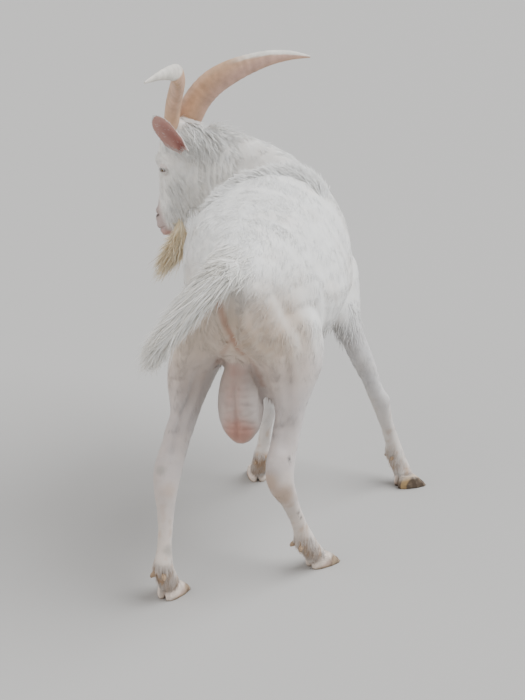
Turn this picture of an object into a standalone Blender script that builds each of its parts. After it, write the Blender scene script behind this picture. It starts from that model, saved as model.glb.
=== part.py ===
"""A still, life-size white dairy buck with wide horns, looking back over its left shoulder.

The body is lofted from a few stations, fused, and parted by thin cuts into named pieces.
The goat faces -Y, its left side is +X and the floor is z = 0. Everything is in metres.
"""

import math

import bmesh
import bpy
from mathutils import Matrix, Vector

# ---------------------------------------------------------------- driving dimensions
BODY_VOXEL = 0.005  # fineness of the fused body before it is thinned out
HEAD_VOXEL = 0.0032
BODY_TRIANGLES = 2900
HEAD_TRIANGLES = 1700
CUT_GAP = 0.0006  # width of the thin cuts between pieces of the body
CLEARANCE = 0.0004  # gap between a piece and what it is set against
ROOT_CLEARANCE = 0.0007  # the same for horns, ears and other growths on the uneven body
STEPS = 4  # rings from one station of a loft to the next
SIDES = 28  # points around a ring

COAT = ("coat", (0.86, 0.83, 0.78, 1), 0.75)
HAIR = ("long_hair", (0.84, 0.78, 0.66, 1), 0.8)
BARE = ("bare_skin", (0.80, 0.55, 0.48, 1), 0.6)
HORN = ("horn", (0.55, 0.36, 0.24, 1), 0.45)
HOOF = ("hoof", (0.34, 0.27, 0.20, 1), 0.5)
EYE = ("eye", (0.25, 0.16, 0.07, 1), 0.1)

# Trunk stations: y, x of the middle, height of the back, height of the belly, half width,
# how far up the section is widest, and how far the back leans to the goat's left.
TRUNK = (
    (0.405, 0.026, 0.775, 0.650, 0.040, 0.50, 0.000),
    (0.370, 0.026, 0.808, 0.580, 0.085, 0.50, 0.002),
    (0.290, 0.028, 0.838, 0.530, 0.122, 0.55, 0.010),
    (0.200, 0.034, 0.852, 0.505, 0.156, 0.52, 0.022),
    (0.100, 0.044, 0.852, 0.475, 0.186, 0.48, 0.030),
    (0.000, 0.052, 0.848, 0.458, 0.205, 0.45, 0.036),
    (-0.110, 0.056, 0.850, 0.450, 0.210, 0.45, 0.038),
    (-0.210, 0.056, 0.862, 0.452, 0.200, 0.46, 0.036),
    (-0.300, 0.056, 0.862, 0.465, 0.174, 0.47, 0.026),
    (-0.375, 0.056, 0.802, 0.485, 0.146, 0.48, 0.012),
    (-0.440, 0.058, 0.720, 0.524, 0.104, 0.48, 0.000),
    (-0.474, 0.060, 0.676, 0.566, 0.056, 0.48, 0.000),
)
TRUNK_FULLNESS = 0.85  # below 1 the section is fuller than an ellipse

# Joints of each leg from the top down, how far its bones turn to the goat's right, in degrees,
# and how far its toes do.
HIND_LEFT = {
    "hip": (0.092, 0.285, 0.690),
    "knee": (0.144, 0.205, 0.490),
    "hock": (0.178, 0.395, 0.275),
    "fetlock": (0.166, 0.476, 0.092),
    "foot": (0.161, 0.438, 0.0),
    "turn": 32,
    "toes": 16,
}
HIND_RIGHT = {
    "hip": (-0.045, 0.275, 0.690),
    "knee": (-0.090, 0.160, 0.495),
    "hock": (-0.068, 0.306, 0.265),
    "fetlock": (-0.116, 0.260, 0.090),
    "foot": (-0.146, 0.212, 0.0),
    "turn": 44,
    "toes": 36,
}
FORE_LEFT = {
    "shoulder": (0.166, -0.320, 0.620),
    "elbow": (0.134, -0.218, 0.475),
    "carpus": (0.078, -0.180, 0.245),
    "fetlock": (0.098, -0.180, 0.092),
    "foot": (0.122, -0.226, 0.0),
    "turn": -20,
    "toes": -16,
}
FORE_RIGHT = {
    "shoulder": (-0.060, -0.320, 0.620),
    "elbow": (-0.112, -0.243, 0.465),
    "carpus": (-0.208, -0.268, 0.243),
    "fetlock": (-0.248, -0.293, 0.094),
    "foot": (-0.290, -0.277, 0.0),
    "turn": 60,
    "toes": 52,
}
HAUNCH_TURN = 0.4  # share of that turn that the haunch and upper arm have
# Thickness down a leg: upper joint, lower joint, share of the way between them, half width,
# half depth, and how far the middle lies behind the line of the joints. Sections are level in
# the haunch and upper arm, and square to the bones below.
HIND_PROFILE = (
    ("hip", "knee", -0.05, 0.042, 0.080, 0.000),
    ("hip", "knee", 0.30, 0.062, 0.122, 0.004),
    ("hip", "knee", 0.65, 0.062, 0.124, 0.018),
    ("knee", "hock", 0.00, 0.054, 0.104, 0.042),
    ("knee", "hock", 0.20, 0.044, 0.080, 0.030),
    ("knee", "hock", 0.40, 0.034, 0.058, 0.020),
    ("knee", "hock", 0.70, 0.025, 0.040, 0.010),
    ("knee", "hock", 0.95, 0.024, 0.040, 0.006),
    ("hock", "fetlock", 0.12, 0.025, 0.035, 0.004),
    ("hock", "fetlock", 0.32, 0.020, 0.026, 0.002),
    ("hock", "fetlock", 0.60, 0.0175, 0.0210, 0.000),
    ("hock", "fetlock", 0.84, 0.0190, 0.0225, 0.000),
    ("hock", "fetlock", 1.00, 0.0260, 0.0275, 0.002),
    ("fetlock", "foot", 0.35, 0.0235, 0.0235, 0.000),
    ("fetlock", "foot", 0.62, 0.0255, 0.0250, 0.000),
)
FORE_PROFILE = (
    ("shoulder", "elbow", -0.50, 0.020, 0.040, 0.030),
    ("shoulder", "elbow", 0.05, 0.046, 0.088, 0.004),
    ("shoulder", "elbow", 0.55, 0.045, 0.080, 0.000),
    ("elbow", "carpus", 0.00, 0.038, 0.054, -0.004),
    ("elbow", "carpus", 0.25, 0.033, 0.044, -0.004),
    ("elbow", "carpus", 0.60, 0.0255, 0.031, -0.003),
    ("elbow", "carpus", 0.88, 0.0240, 0.0260, 0.000),
    ("elbow", "carpus", 1.00, 0.0265, 0.0285, -0.002),
    ("carpus", "fetlock", 0.20, 0.0235, 0.0250, 0.000),
    ("carpus", "fetlock", 0.48, 0.0190, 0.0210, 0.000),
    ("carpus", "fetlock", 0.82, 0.0200, 0.0220, 0.000),
    ("carpus", "fetlock", 1.00, 0.0260, 0.0275, 0.002),
    ("fetlock", "foot", 0.35, 0.0235, 0.0240, 0.000),
    ("fetlock", "foot", 0.62, 0.0255, 0.0255, 0.000),
)
CLAW_SPLIT = 0.003  # gap between the two claws of a foot
CLAW_SPLAY = 9  # degrees that each claw turns out
CLAW_SIDES = 10
# Rings of a claw: height, heel, toe and width.
CLAW_RINGS = (
    (0.000, -0.033, 0.050, 0.0260),
    (0.012, -0.036, 0.042, 0.0275),
    (0.026, -0.033, 0.027, 0.0265),
    (0.036, -0.026, 0.014, 0.0240),
)
DEWCLAW = ((0.000, 0.0085), (0.013, 0.0080), (0.021, 0.0035))  # distance out, radius

# Neck stations from the chest to the poll: middle, half width and half height.
NECK = (
    (0.056, -0.260, 0.665, 0.124, 0.165),
    (0.060, -0.350, 0.685, 0.120, 0.160),
    (0.095, -0.440, 0.718, 0.102, 0.142),
    (0.160, -0.505, 0.755, 0.084, 0.124),
    (0.240, -0.515, 0.785, 0.074, 0.118),
    (0.310, -0.480, 0.805, 0.063, 0.123),
    (0.350, -0.450, 0.822, 0.051, 0.116),
)

# The head hangs nose down and looks to the goat's left.
POLL = Vector((0.391, -0.430, 0.945))  # between the horns
FACING = Vector((0.8918, -0.4524, 0.0))
HEAD_LEAN = 0.22  # how far the nose is carried forward for each metre that it hangs
DOWN_THE_FACE = (FACING * HEAD_LEAN - Vector((0, 0, 1))).normalized()
HEAD_LEFT = FACING.cross(DOWN_THE_FACE).normalized()
HEAD_FRONT = DOWN_THE_FACE.cross(HEAD_LEFT).normalized()
# Face stations: distance below the poll, front of the face, back of the jaw, half width,
# and how far forward the section is widest.
FACE = (
    (-0.012, 0.008, -0.046, 0.030, 0.50),
    (0.010, 0.030, -0.064, 0.047, 0.50),
    (0.045, 0.045, -0.076, 0.054, 0.55),
    (0.095, 0.046, -0.086, 0.057, 0.62),
    (0.130, 0.040, -0.092, 0.055, 0.62),
    (0.170, 0.036, -0.086, 0.045, 0.60),
    (0.210, 0.033, -0.078, 0.037, 0.55),
    (0.250, 0.032, -0.067, 0.034, 0.50),
    (0.284, 0.030, -0.059, 0.034, 0.50),
    (0.310, 0.024, -0.052, 0.031, 0.50),
    (0.331, 0.004, -0.036, 0.020, 0.50),
)
FACE_SWELLINGS = (
    ((0.108, 0.010, 0.031), 0.0285),
    ((0.274, 0.008, 0.014), 0.0205),
    ((0.306, -0.028, 0.006), 0.0205),
)
EYE_RADIUS = 0.0145
EYE_PLACE = (0.127, -0.013, 0.0475)  # down the face, to the front, to the side
# Root of each ear, the way it points and the way it opens, each down, to the front and out.
# The left ear is pricked and turned back; the right one is held out level.
EAR_POSES = {
    "left": ((0.044, -0.064, 0.050), (-0.69, 0.30, 0.65), (0.0, -0.40, 0.80)),
    "right": ((0.066, -0.034, 0.046), (0.05, 0.42, 0.90), (0.30, 0.90, -0.2)),
}
EAR_LENGTH = 0.140
EAR_WIDTH = 0.053
EAR_THICK = 0.0036
EAR_RINGS = 8
EAR_SIDES = 7
HORN_SIDES = 12
HORN_STEPS = 2
KEEL_AT_BROW = (0.0, 0.75, -0.65)  # the front edge of the horns turns in at their base
# Horn stations from the poll: up, back and out, half width and half depth.
HORN_LINE = (
    (-0.030, -0.006, 0.027, 0.0190, 0.0350),
    (0.002, -0.001, 0.033, 0.0210, 0.0365),
    (0.058, 0.010, 0.047, 0.0210, 0.0370),
    (0.108, 0.033, 0.068, 0.0200, 0.0365),
    (0.147, 0.064, 0.099, 0.0180, 0.0330),
    (0.177, 0.096, 0.141, 0.0150, 0.0270),
    (0.197, 0.123, 0.193, 0.0115, 0.0200),
    (0.203, 0.143, 0.254, 0.0080, 0.0125),
    (0.197, 0.157, 0.319, 0.0020, 0.0030),
)

# Tail stations from the root to the tip of its hair: middle, half width and half thickness.
TAIL = (
    (0.024, 0.360, 0.775, 0.030, 0.030),
    (0.034, 0.410, 0.780, 0.036, 0.030),
    (0.072, 0.452, 0.748, 0.048, 0.028),
    (0.118, 0.478, 0.690, 0.050, 0.024),
    (0.155, 0.490, 0.640, 0.044, 0.020),
    (0.187, 0.498, 0.590, 0.016, 0.010),
)
SCROTUM = (
    (0.030, 0.240, 0.600, 0.030, 0.030),
    (0.032, 0.262, 0.540, 0.036, 0.036),
    (0.034, 0.276, 0.480, 0.050, 0.048),
    (0.034, 0.280, 0.420, 0.056, 0.052),
    (0.033, 0.278, 0.365, 0.044, 0.042),
    (0.031, 0.276, 0.332, 0.018, 0.018),
)
BEARD = (
    (0.396, -0.424, 0.675, 0.015, 0.030),
    (0.398, -0.415, 0.617, 0.018, 0.031),
    (0.422, -0.402, 0.562, 0.017, 0.027),
    (0.468, -0.392, 0.495, 0.006, 0.011),
)
SHEATH = (
    (0.043, 0.230, 0.515, 0.012, 0.018),
    (0.045, 0.160, 0.492, 0.020, 0.024),
    (0.048, 0.090, 0.472, 0.024, 0.026),
    (0.051, 0.030, 0.463, 0.020, 0.022),
    (0.052, -0.010, 0.462, 0.010, 0.012),
)
HEAD_CUT_TOP = -0.058  # front of the plane behind the skull, at the crown
HEAD_CUT_LOW = -0.120  # and level with the mouth
# Blocks that part the body: lowest corner, highest corner, turn about X in degrees.
NECK_BLOCK = ((-0.12, -0.75, 0.58), (0.36, -0.37, 1.02), 26)
TAIL_BLOCK = ((-0.06, 0.412, 0.52), (0.34, 0.60, 0.86), 0)
# Blocks round the upper legs: side of the inner face low and high, side of the outer face,
# y of the front face low and high, y of the back face, heights of bottom and top.
LEG_BLOCKS = {
    "hind_left_thigh": (-0.020, 0.105, 0.33, (0.07, 0.17), 0.60, (0.330, 0.700)),
    "hind_right_thigh": (0.072, -0.050, -0.30, (0.03, 0.16), 0.60, (0.330, 0.700)),
    "fore_left_forearm": (0.045, 0.135, 0.33, (-0.55, -0.55), -0.11, (0.285, 0.640)),
    "fore_right_forearm": (-0.010, -0.045, -0.40, (-0.55, -0.55), -0.12, (0.285, 0.640)),
}


# ---------------------------------------------------------------- making shapes
def clear_scene():
    for thing in list(bpy.data.objects):
        bpy.data.objects.remove(thing, do_unlink=True)


def finish_of(spec):
    name, colour, roughness = spec
    material = bpy.data.materials.get(name)
    if material is None:
        material = bpy.data.materials.new(name)
        material.use_nodes = True
        shader = material.node_tree.nodes["Principled BSDF"]
        shader.inputs["Base Color"].default_value = colour
        shader.inputs["Roughness"].default_value = roughness
        shader.inputs["Metallic"].default_value = 0.0
        material.diffuse_color = colour
    return material


def thing_from(name, shape):
    """An object with the faces of a bmesh, which is freed."""
    shape.normal_update()
    bmesh.ops.recalc_face_normals(shape, faces=shape.faces)
    bmesh.ops.triangulate(shape, faces=shape.faces)  # so that a cutter folds where its piece does
    mesh = bpy.data.meshes.new(name)
    shape.to_mesh(mesh)
    shape.free()
    thing = bpy.data.objects.new(name, mesh)
    bpy.context.scene.collection.objects.link(thing)
    return thing


def smooth_values(stations, steps=STEPS):
    """Values on a smooth curve that passes through each station."""
    last = len(stations) - 1
    values = []
    for i in range(last):
        before = stations[max(i - 1, 0)]
        after = stations[min(i + 2, last)]
        for step in range(steps):
            t = step / steps
            row = []
            for p0, p1, p2, p3 in zip(before, stations[i], stations[i + 1], after):
                bend = (2 * p0 - 5 * p1 + 4 * p2 - p3) * t * t
                swing = (3 * p1 - p0 - 3 * p2 + p3) * t * t * t
                row.append(0.5 * (2 * p1 + (p2 - p0) * t + bend + swing))
            values.append(row)
    values.append(list(stations[last]))
    return values


def loft(name, rings):
    """A closed tube through rings that have the same number of points."""
    shape = bmesh.new()
    rows = [[shape.verts.new(point) for point in ring] for ring in rings]
    sides = len(rows[0])
    for upper, lower in zip(rows, rows[1:]):
        for i in range(sides):
            j = (i + 1) % sides
            shape.faces.new((upper[i], upper[j], lower[j], lower[i]))
    shape.faces.new(rows[0])
    shape.faces.new(reversed(rows[-1]))
    return thing_from(name, shape)


def oval(middle, across, along, half_width, half_depth, sides=SIDES):
    """A ring of points around middle."""
    ring = []
    for i in range(sides):
        angle = 2 * math.pi * i / sides
        ring.append(middle + across * half_width * math.cos(angle) + along * half_depth * math.sin(angle))
    return ring


def tube(name, stations, up, sides=SIDES, steps=STEPS):
    """A loft along stations of x, y, z, half width and half depth; the depth leans to up."""
    rows = smooth_values(stations, steps)
    middles = [Vector(row[:3]) for row in rows]
    rings = []
    for i, (row, middle) in enumerate(zip(rows, middles)):
        along = middles[min(i + 1, len(rows) - 1)] - middles[max(i - 1, 0)]
        across = along.cross(up).normalized()
        depth = across.cross(along).normalized()
        rings.append(oval(middle, across, depth, row[3], row[4], sides))
    return loft(name, rings)


# ---------------------------------------------------------------- the fused body
def trunk_shape():
    rings = []
    for y, x, back, belly, half_width, widest, lean in smooth_values(TRUNK):
        middle = belly + (back - belly) * widest
        ring = []
        for i in range(SIDES):
            angle = 2 * math.pi * i / SIDES
            rise = math.sin(angle)
            reach = back - middle if rise > 0 else middle - belly
            across = math.copysign(abs(math.cos(angle)) ** TRUNK_FULLNESS, math.cos(angle))
            shift = lean * max(rise, 0)
            ring.append(Vector((x + half_width * across + shift, y, middle + reach * rise)))
        rings.append(ring)
    return loft("trunk_shape", rings)


def neck_shape():
    return tube("neck_shape", NECK, Vector((0, 0, 1)))


def heading(turn):
    """The way that toes turned by this many degrees to the goat's right point."""
    return Vector((-math.sin(math.radians(turn)), -math.cos(math.radians(turn)), 0))


def leg_shape(name, leg, profile):
    rings = []
    stations = []
    for upper, lower, share, half_width, half_depth, behind in profile:
        top = Vector(leg[upper])
        foot = Vector(leg[lower])
        level = lower in ("knee", "elbow") or (upper in ("knee", "elbow") and share < 0.5)
        forward = heading(leg["turn"] * (HAUNCH_TURN if level else 1.0))
        along = Vector((0, 0, -1)) if level else (foot - top).normalized()
        across = along.cross(forward).normalized()
        depth = across.cross(along).normalized()
        middle = top.lerp(foot, share) - depth * behind
        stations.append((*middle, *across, *depth, half_width, half_depth))
    for row in smooth_values(stations):
        across = Vector(row[3:6]).normalized()
        depth = Vector(row[6:9]).normalized()
        rings.append(oval(Vector(row[:3]), across, depth, row[9], row[10]))
    return loft(name, rings)


def head_place(down, front, side):
    """A point of the head from its own measures; side is out to the goat's left eye."""
    return POLL + DOWN_THE_FACE * down + HEAD_FRONT * front + HEAD_LEFT * side


def head_way(way, hand):
    """A direction of the head; hand mirrors it to the goat's left, +1, or right, -1."""
    down, front, side = way
    return (DOWN_THE_FACE * down + HEAD_FRONT * front + HEAD_LEFT * side * hand).normalized()


def head_shape():
    rings = []
    for down, front, back, half_width, widest in smooth_values(FACE):
        middle = back + (front - back) * widest
        ring = []
        for i in range(SIDES):
            angle = 2 * math.pi * i / SIDES
            rise = math.sin(angle)
            reach = front - middle if rise > 0 else middle - back
            ring.append(head_place(down, middle + reach * rise, half_width * math.cos(angle)))
        rings.append(ring)
    return loft("head_shape", rings)


def horn_shape(name, hand):
    """A horn on the side of hand, +1 left or -1 right; its keel turns from the brow to the sky."""
    rows = smooth_values(HORN_LINE, HORN_STEPS)
    middles = [head_place(-row[0], -row[1], hand * row[2]) for row in rows]
    brow = head_way(KEEL_AT_BROW, hand)
    sky = -DOWN_THE_FACE
    rings = []
    last = len(rows) - 1
    for i, row in enumerate(rows):
        along = middles[min(i + 1, last)] - middles[max(i - 1, 0)]
        keel = brow.lerp(sky, i / last)
        across = along.cross(keel).normalized()
        depth = across.cross(along).normalized()
        rings.append(oval(middles[i], across, depth, row[3], row[4], HORN_SIDES))
    return loft(name, rings)


def ear_shape(name, hand):
    """A cupped leaf, closed at its tip."""
    (down, front, side), way, opening_way = EAR_POSES["left" if hand > 0 else "right"]
    root = head_place(down, front, hand * side)
    along = head_way(way, hand)
    opening = head_way(opening_way, hand)
    across = along.cross(opening).normalized()
    opening = across.cross(along).normalized()
    rings = []
    for i in range(EAR_RINGS + 1):
        share = i / EAR_RINGS
        half = EAR_WIDTH / 2 * math.sin(math.pi * (0.22 + 0.76 * share) ** 0.85) ** 0.62
        curl = 1.9 - 1.1 * share
        middle = root + along * EAR_LENGTH * (share - 0.12)
        rings.append(cupped_ring(middle, across, opening, half, curl))
    return loft(name, rings)


def cupped_ring(middle, across, opening, half_width, curl):
    """A thin arc with rounded ends; curl is half the angle that it turns through."""
    radius = half_width / math.sin(min(curl, math.pi / 2))
    inner = []
    outer = []
    for i in range(EAR_SIDES):
        angle = curl * (2 * i / (EAR_SIDES - 1) - 1)
        thick = EAR_THICK / 2 * (1 - 0.6 * abs(angle / curl))
        for side, ring in ((-1, inner), (1, outer)):
            reach = radius + side * thick
            sideways = across * math.sin(angle) * reach
            ring.append(middle + sideways + opening * (radius * math.cos(curl * 0.5) - math.cos(angle) * reach))
    return inner + outer[::-1]


def claw_shape(name, foot, forward, hand):
    """Half of a cloven hoof, flat below; its inner side is straight and its outer side bulges."""
    outward = forward.cross(Vector((0, 0, 1))) * hand
    rings = []
    for height, heel, toe, width in CLAW_RINGS:
        ring = []
        for i in range(CLAW_SIDES):
            angle = 2 * math.pi * i / CLAW_SIDES
            reach = toe if math.cos(angle) > 0 else -heel
            fore = reach * abs(math.cos(angle)) ** 0.85 * (1 if math.cos(angle) > 0 else -1)
            out = width * (0.5 + 0.5 * math.sin(angle))
            ring.append(foot + forward * fore + outward * (CLAW_SPLIT / 2 + out) + Vector((0, 0, height)))
        rings.append(ring)
    return loft(name, rings)


def dewclaw_shape(name, root, outward):
    across = outward.orthogonal().normalized()
    along = outward.cross(across).normalized()
    rings = [oval(root + outward * reach, across, along, wide, wide, 6) for reach, wide in DEWCLAW]
    return loft(name, rings)


# ---------------------------------------------------------------- tools on whole objects
def settled(thing):
    """The object with its modifiers made real."""
    graph = bpy.context.evaluated_depsgraph_get()
    mesh = bpy.data.meshes.new_from_object(thing.evaluated_get(graph))
    thing.modifiers.clear()
    thing.data = mesh
    return thing


def copy_of(thing, name):
    copy = thing.copy()
    copy.data = thing.data.copy()
    copy.name = name
    bpy.context.scene.collection.objects.link(copy)
    return copy


def joined(name, things):
    """One mesh object from several, which are removed."""
    shape = bmesh.new()
    for thing in things:
        shape.from_mesh(thing.data)
        bpy.data.objects.remove(thing, do_unlink=True)
    mesh = bpy.data.meshes.new(name)
    shape.to_mesh(mesh)
    shape.free()
    whole = bpy.data.objects.new(name, mesh)
    bpy.context.scene.collection.objects.link(whole)
    return whole


def fused(name, things, voxel, triangles):
    """One skin over overlapping shapes, smoothed and thinned out."""
    whole = joined(name, things)
    remesh = whole.modifiers.new("fuse", "REMESH")
    remesh.mode = "VOXEL"
    remesh.voxel_size = voxel
    smooth = whole.modifiers.new("smooth", "SMOOTH")
    smooth.factor = 0.5
    smooth.iterations = 6
    settled(whole)
    thin = whole.modifiers.new("thin", "DECIMATE")
    thin.ratio = triangles / (2 * len(whole.data.polygons))
    return settled(whole)


def swollen(thing, distance):
    """A copy pushed outwards, to cut a pocket that clears the object itself."""
    cutter = copy_of(thing, thing.name + "_cutter")
    shape = bmesh.new()
    shape.from_mesh(cutter.data)
    normals = [vertex.normal.copy() for vertex in shape.verts]
    for vertex, normal in zip(shape.verts, normals):
        vertex.co += normal * distance * vertex.calc_shell_factor()
    shape.to_mesh(cutter.data)
    shape.free()
    return cutter


def cut(thing, cutter, operation="DIFFERENCE"):
    blade = thing.modifiers.new("cut", "BOOLEAN")
    blade.operation = operation
    blade.object = cutter
    blade.solver = "MANIFOLD"  # the exact solver leaves open edges on the fused body
    return settled(thing)


def block(name, low, high, turn):
    """A box between two corners, turned about its middle by degrees round X."""
    low = Vector(low)
    high = Vector(high)
    shape = bmesh.new()
    bmesh.ops.create_cube(shape, size=1)
    spin = Matrix.Rotation(math.radians(turn), 3, "X")
    for vertex in shape.verts:
        corner = Vector([vertex.co[i] * (high - low)[i] for i in range(3)])
        vertex.co = (low + high) / 2 + spin @ corner
    return thing_from(name, shape)


def leg_block(name, inner_low, inner_high, outer, fronts, back, heights):
    """A block whose inner and front faces lean."""
    shape = bmesh.new()
    bmesh.ops.create_cube(shape, size=1)
    for vertex in shape.verts:
        high = vertex.co.z > 0
        inner = inner_high if high else inner_low
        side = outer if vertex.co.x > 0 else inner
        along = back if vertex.co.y > 0 else fronts[high]
        vertex.co = Vector((side, along, heights[high]))
    return thing_from(name, shape)


def part_off(body, region, name):
    """Cuts what lies in the region off the body, as an object of its own."""
    piece = copy_of(body, name)
    cut(piece, region, "INTERSECT")
    wider = swollen(region, CUT_GAP)
    cut(body, wider)
    remove(region, wider)
    return biggest_body(piece)


def remove(*things):
    for thing in things:
        bpy.data.objects.remove(thing, do_unlink=True)


def bodies_of(shape):
    """The separate bodies of a bmesh, as lists of points."""
    left = set(shape.verts)
    bodies = []
    for start in shape.verts:
        if start not in left:
            continue
        left.remove(start)
        body = [start]
        for vertex in body:
            for edge in vertex.link_edges:
                other = edge.other_vert(vertex)
                if other in left:
                    left.remove(other)
                    body.append(other)
        bodies.append(body)
    return bodies


def keep_body(thing, choose):
    """Keeps the one body for which choose gives the least."""
    shape = bmesh.new()
    shape.from_mesh(thing.data)
    bodies = bodies_of(shape)
    kept = min(bodies, key=choose)
    for body in bodies:
        if body is not kept:
            bmesh.ops.delete(shape, geom=body, context="VERTS")
    shape.to_mesh(thing.data)
    shape.free()
    return thing


def biggest_body(thing):
    """Drops any crumb that a cut has left beside the main body."""
    return keep_body(thing, lambda body: -len(body))


def keep_body_near(thing, point):
    return keep_body(thing, lambda body: min((vertex.co - point).length for vertex in body))


def dressed(thing, name, finish):
    thing.name = name
    thing.data.name = name
    thing.data.materials.clear()
    thing.data.materials.append(finish_of(finish))
    thing.data.shade_smooth()
    return thing


# ---------------------------------------------------------------- the goat's pieces
def legs():
    return {
        "hind_left": (HIND_LEFT, HIND_PROFILE),
        "hind_right": (HIND_RIGHT, HIND_PROFILE),
        "fore_left": (FORE_LEFT, FORE_PROFILE),
        "fore_right": (FORE_RIGHT, FORE_PROFILE),
    }


def make_feet():
    """Claws and dewclaws by the name of their leg."""
    feet = {}
    for name, (leg, profile) in legs().items():
        foot = Vector(leg["foot"])
        fetlock = Vector(leg["fetlock"])
        forward = heading(leg["toes"])
        side = forward.cross(Vector((0, 0, 1)))
        claws = []
        dewclaws = []
        for hand, word in ((1, "right"), (-1, "left")):
            splay = Matrix.Rotation(math.radians(-CLAW_SPLAY * hand), 3, "Z")
            claws.append(claw_shape(f"{name}_claw_{word}", foot, splay @ forward, hand))
            root = fetlock - forward * 0.014 + side * hand * 0.0130 + Vector((0, 0, -0.010))
            outward = (side * hand * 0.45 - forward * 0.75 + Vector((0, 0, -0.60))).normalized()
            dewclaws.append(dewclaw_shape(f"{name}_dewclaw_{word}", root, outward))
        feet[name] = (claws, dewclaws)
    return feet


def digit_shapes(name, leg):
    """The two toes between the fetlock and the claws."""
    toes = []
    foot = Vector(leg["foot"])
    fetlock = Vector(leg["fetlock"])
    forward = heading(leg["toes"])
    side = forward.cross(Vector((0, 0, 1)))
    for hand in (1, -1):
        top = fetlock + side * hand * 0.009
        middle = fetlock.lerp(foot, 0.5) + side * hand * 0.0125 + forward * 0.002
        low = foot + side * hand * 0.0145 + Vector((0, 0, 0.022)) - forward * 0.006
        stations = ((*top, 0.0155, 0.0200), (*middle, 0.0130, 0.0200), (*low, 0.0115, 0.0220))
        toes.append(tube(f"{name}_toe", stations, forward, 14))
    return toes


def body_shapes():
    up = Vector((0, 0, 1))
    shapes = [trunk_shape(), neck_shape(), *head_shapes()]
    shapes.append(tube("tail_shape", TAIL, up, 20))
    shapes.append(tube("sheath_shape", SHEATH, up, 16))
    for name, (leg, profile) in legs().items():
        shapes.append(leg_shape(name, leg, profile))
        shapes.extend(digit_shapes(name, leg))
    return shapes


def head_shapes():
    """The skull and jaw, with swellings round the eyes, at the nostrils and at the chin."""
    shapes = [head_shape()]
    for (down, front, side), radius in FACE_SWELLINGS:
        for hand in (1, -1):
            shapes.append(ball("swelling", head_place(down, front, hand * side), radius))
    return shapes


def head_block(name):
    """The space of the head, behind whose back plane the neck begins."""
    shape = bmesh.new()
    bmesh.ops.create_cube(shape, size=1)
    for vertex in shape.verts:
        down, front, side = vertex.co
        back = HEAD_CUT_TOP if down < 0 else HEAD_CUT_LOW
        vertex.co = head_place(0.13 + down * 0.42, back if front < 0 else 0.20, side * 0.30)
    return thing_from(name, shape)


def set_against(piece, others):
    """Trims a piece to clear what it grows from."""
    for other in others:
        cutter = swollen(other, ROOT_CLEARANCE)
        cut(piece, cutter)
        remove(cutter)
    return piece


def make_head(head, neck):
    """Eyes, horns and ears; the head is hollowed for the eyes."""
    for hand, word in ((1, "left"), (-1, "right")):
        down, front, side = EYE_PLACE
        middle = head_place(down, front, hand * side)
        socket = ball("socket", middle, EYE_RADIUS + CLEARANCE)
        cut(head, socket)
        remove(socket)
        dressed(ball(f"eye_{word}", middle, EYE_RADIUS), f"eye_{word}", EYE)
    for hand, word in ((1, "left"), (-1, "right")):
        horn = set_against(horn_shape(f"horn_{word}", hand), (head, neck))
        dressed(biggest_body(horn), horn.name, HORN)
        ear = set_against(ear_shape(f"ear_{word}", hand), (head, neck, horn))
        (down, front, side), way, _ = EAR_POSES[word]
        keep_body_near(ear, head_place(down, front, hand * side) + head_way(way, hand) * EAR_LENGTH)
        dressed(ear, ear.name, COAT)


def ball(name, middle, radius):
    shape = bmesh.new()
    bmesh.ops.create_icosphere(shape, subdivisions=2, radius=radius, matrix=Matrix.Translation(middle))
    return thing_from(name, shape)


def part_legs(body):
    """Thighs and forearms by their blocks; what is left below each is its shank."""
    thighs = []
    for name, faces in LEG_BLOCKS.items():
        thigh = dressed(part_off(body, leg_block("leg_block", *faces), name), name, COAT)
        thighs.append(thigh)
    for name, (leg, profile) in legs().items():
        piece = keep_body_near(copy_of(body, f"{name}_shank"), Vector(leg["fetlock"]))
        dressed(piece, piece.name, COAT)
    return thighs


def stand_at_origin():
    """Moves every piece so that the middle of the whole goat's box is over the origin."""
    things = [thing for thing in bpy.data.objects if thing.type == "MESH"]
    corners = [vertex.co for thing in things for vertex in thing.data.vertices]
    shift = Vector([-(min(c[i] for c in corners) + max(c[i] for c in corners)) / 2 for i in (0, 1)] + [0])
    for thing in things:
        thing.data.transform(Matrix.Translation(shift))
    print("moved by", tuple(round(value, 5) for value in shift))


def main():
    clear_scene()
    feet = make_feet()
    body = fused("trunk", body_shapes(), BODY_VOXEL, BODY_TRIANGLES)
    head = fused("head", [neck_shape(), *head_shapes()], HEAD_VOXEL, HEAD_TRIANGLES)
    region = head_block("head_block")
    cut(head, region, "INTERSECT")
    wider = swollen(region, CUT_GAP)
    cut(body, wider)
    remove(region, wider)
    for claws, dewclaws in feet.values():
        for claw in claws + dewclaws:
            cutter = swollen(claw, CLEARANCE)
            cut(body, cutter)
            remove(cutter)
            dressed(claw, claw.name, HOOF)
    neck = dressed(part_off(body, block("neck_block", *NECK_BLOCK), "neck"), "neck", COAT)
    dressed(part_off(body, block("tail_block", *TAIL_BLOCK), "tail"), "tail", HAIR)
    thighs = part_legs(body)
    dressed(biggest_body(body), "trunk", COAT)
    dressed(biggest_body(head), "head", COAT)
    make_head(head, neck)
    scrotum = tube("scrotum", SCROTUM, Vector((0, 1, 0)), 14, 2)
    set_against(scrotum, (body, *thighs))
    dressed(biggest_body(scrotum), "scrotum", BARE)
    beard = set_against(tube("beard", BEARD, HEAD_FRONT, 12, 2), (head,))
    dressed(biggest_body(beard), "beard", HAIR)
    stand_at_origin()


main()
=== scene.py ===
import math

import bmesh
import bpy
import numpy as np
from mathutils import Matrix, Vector
from mathutils.bvhtree import BVHTree


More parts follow.
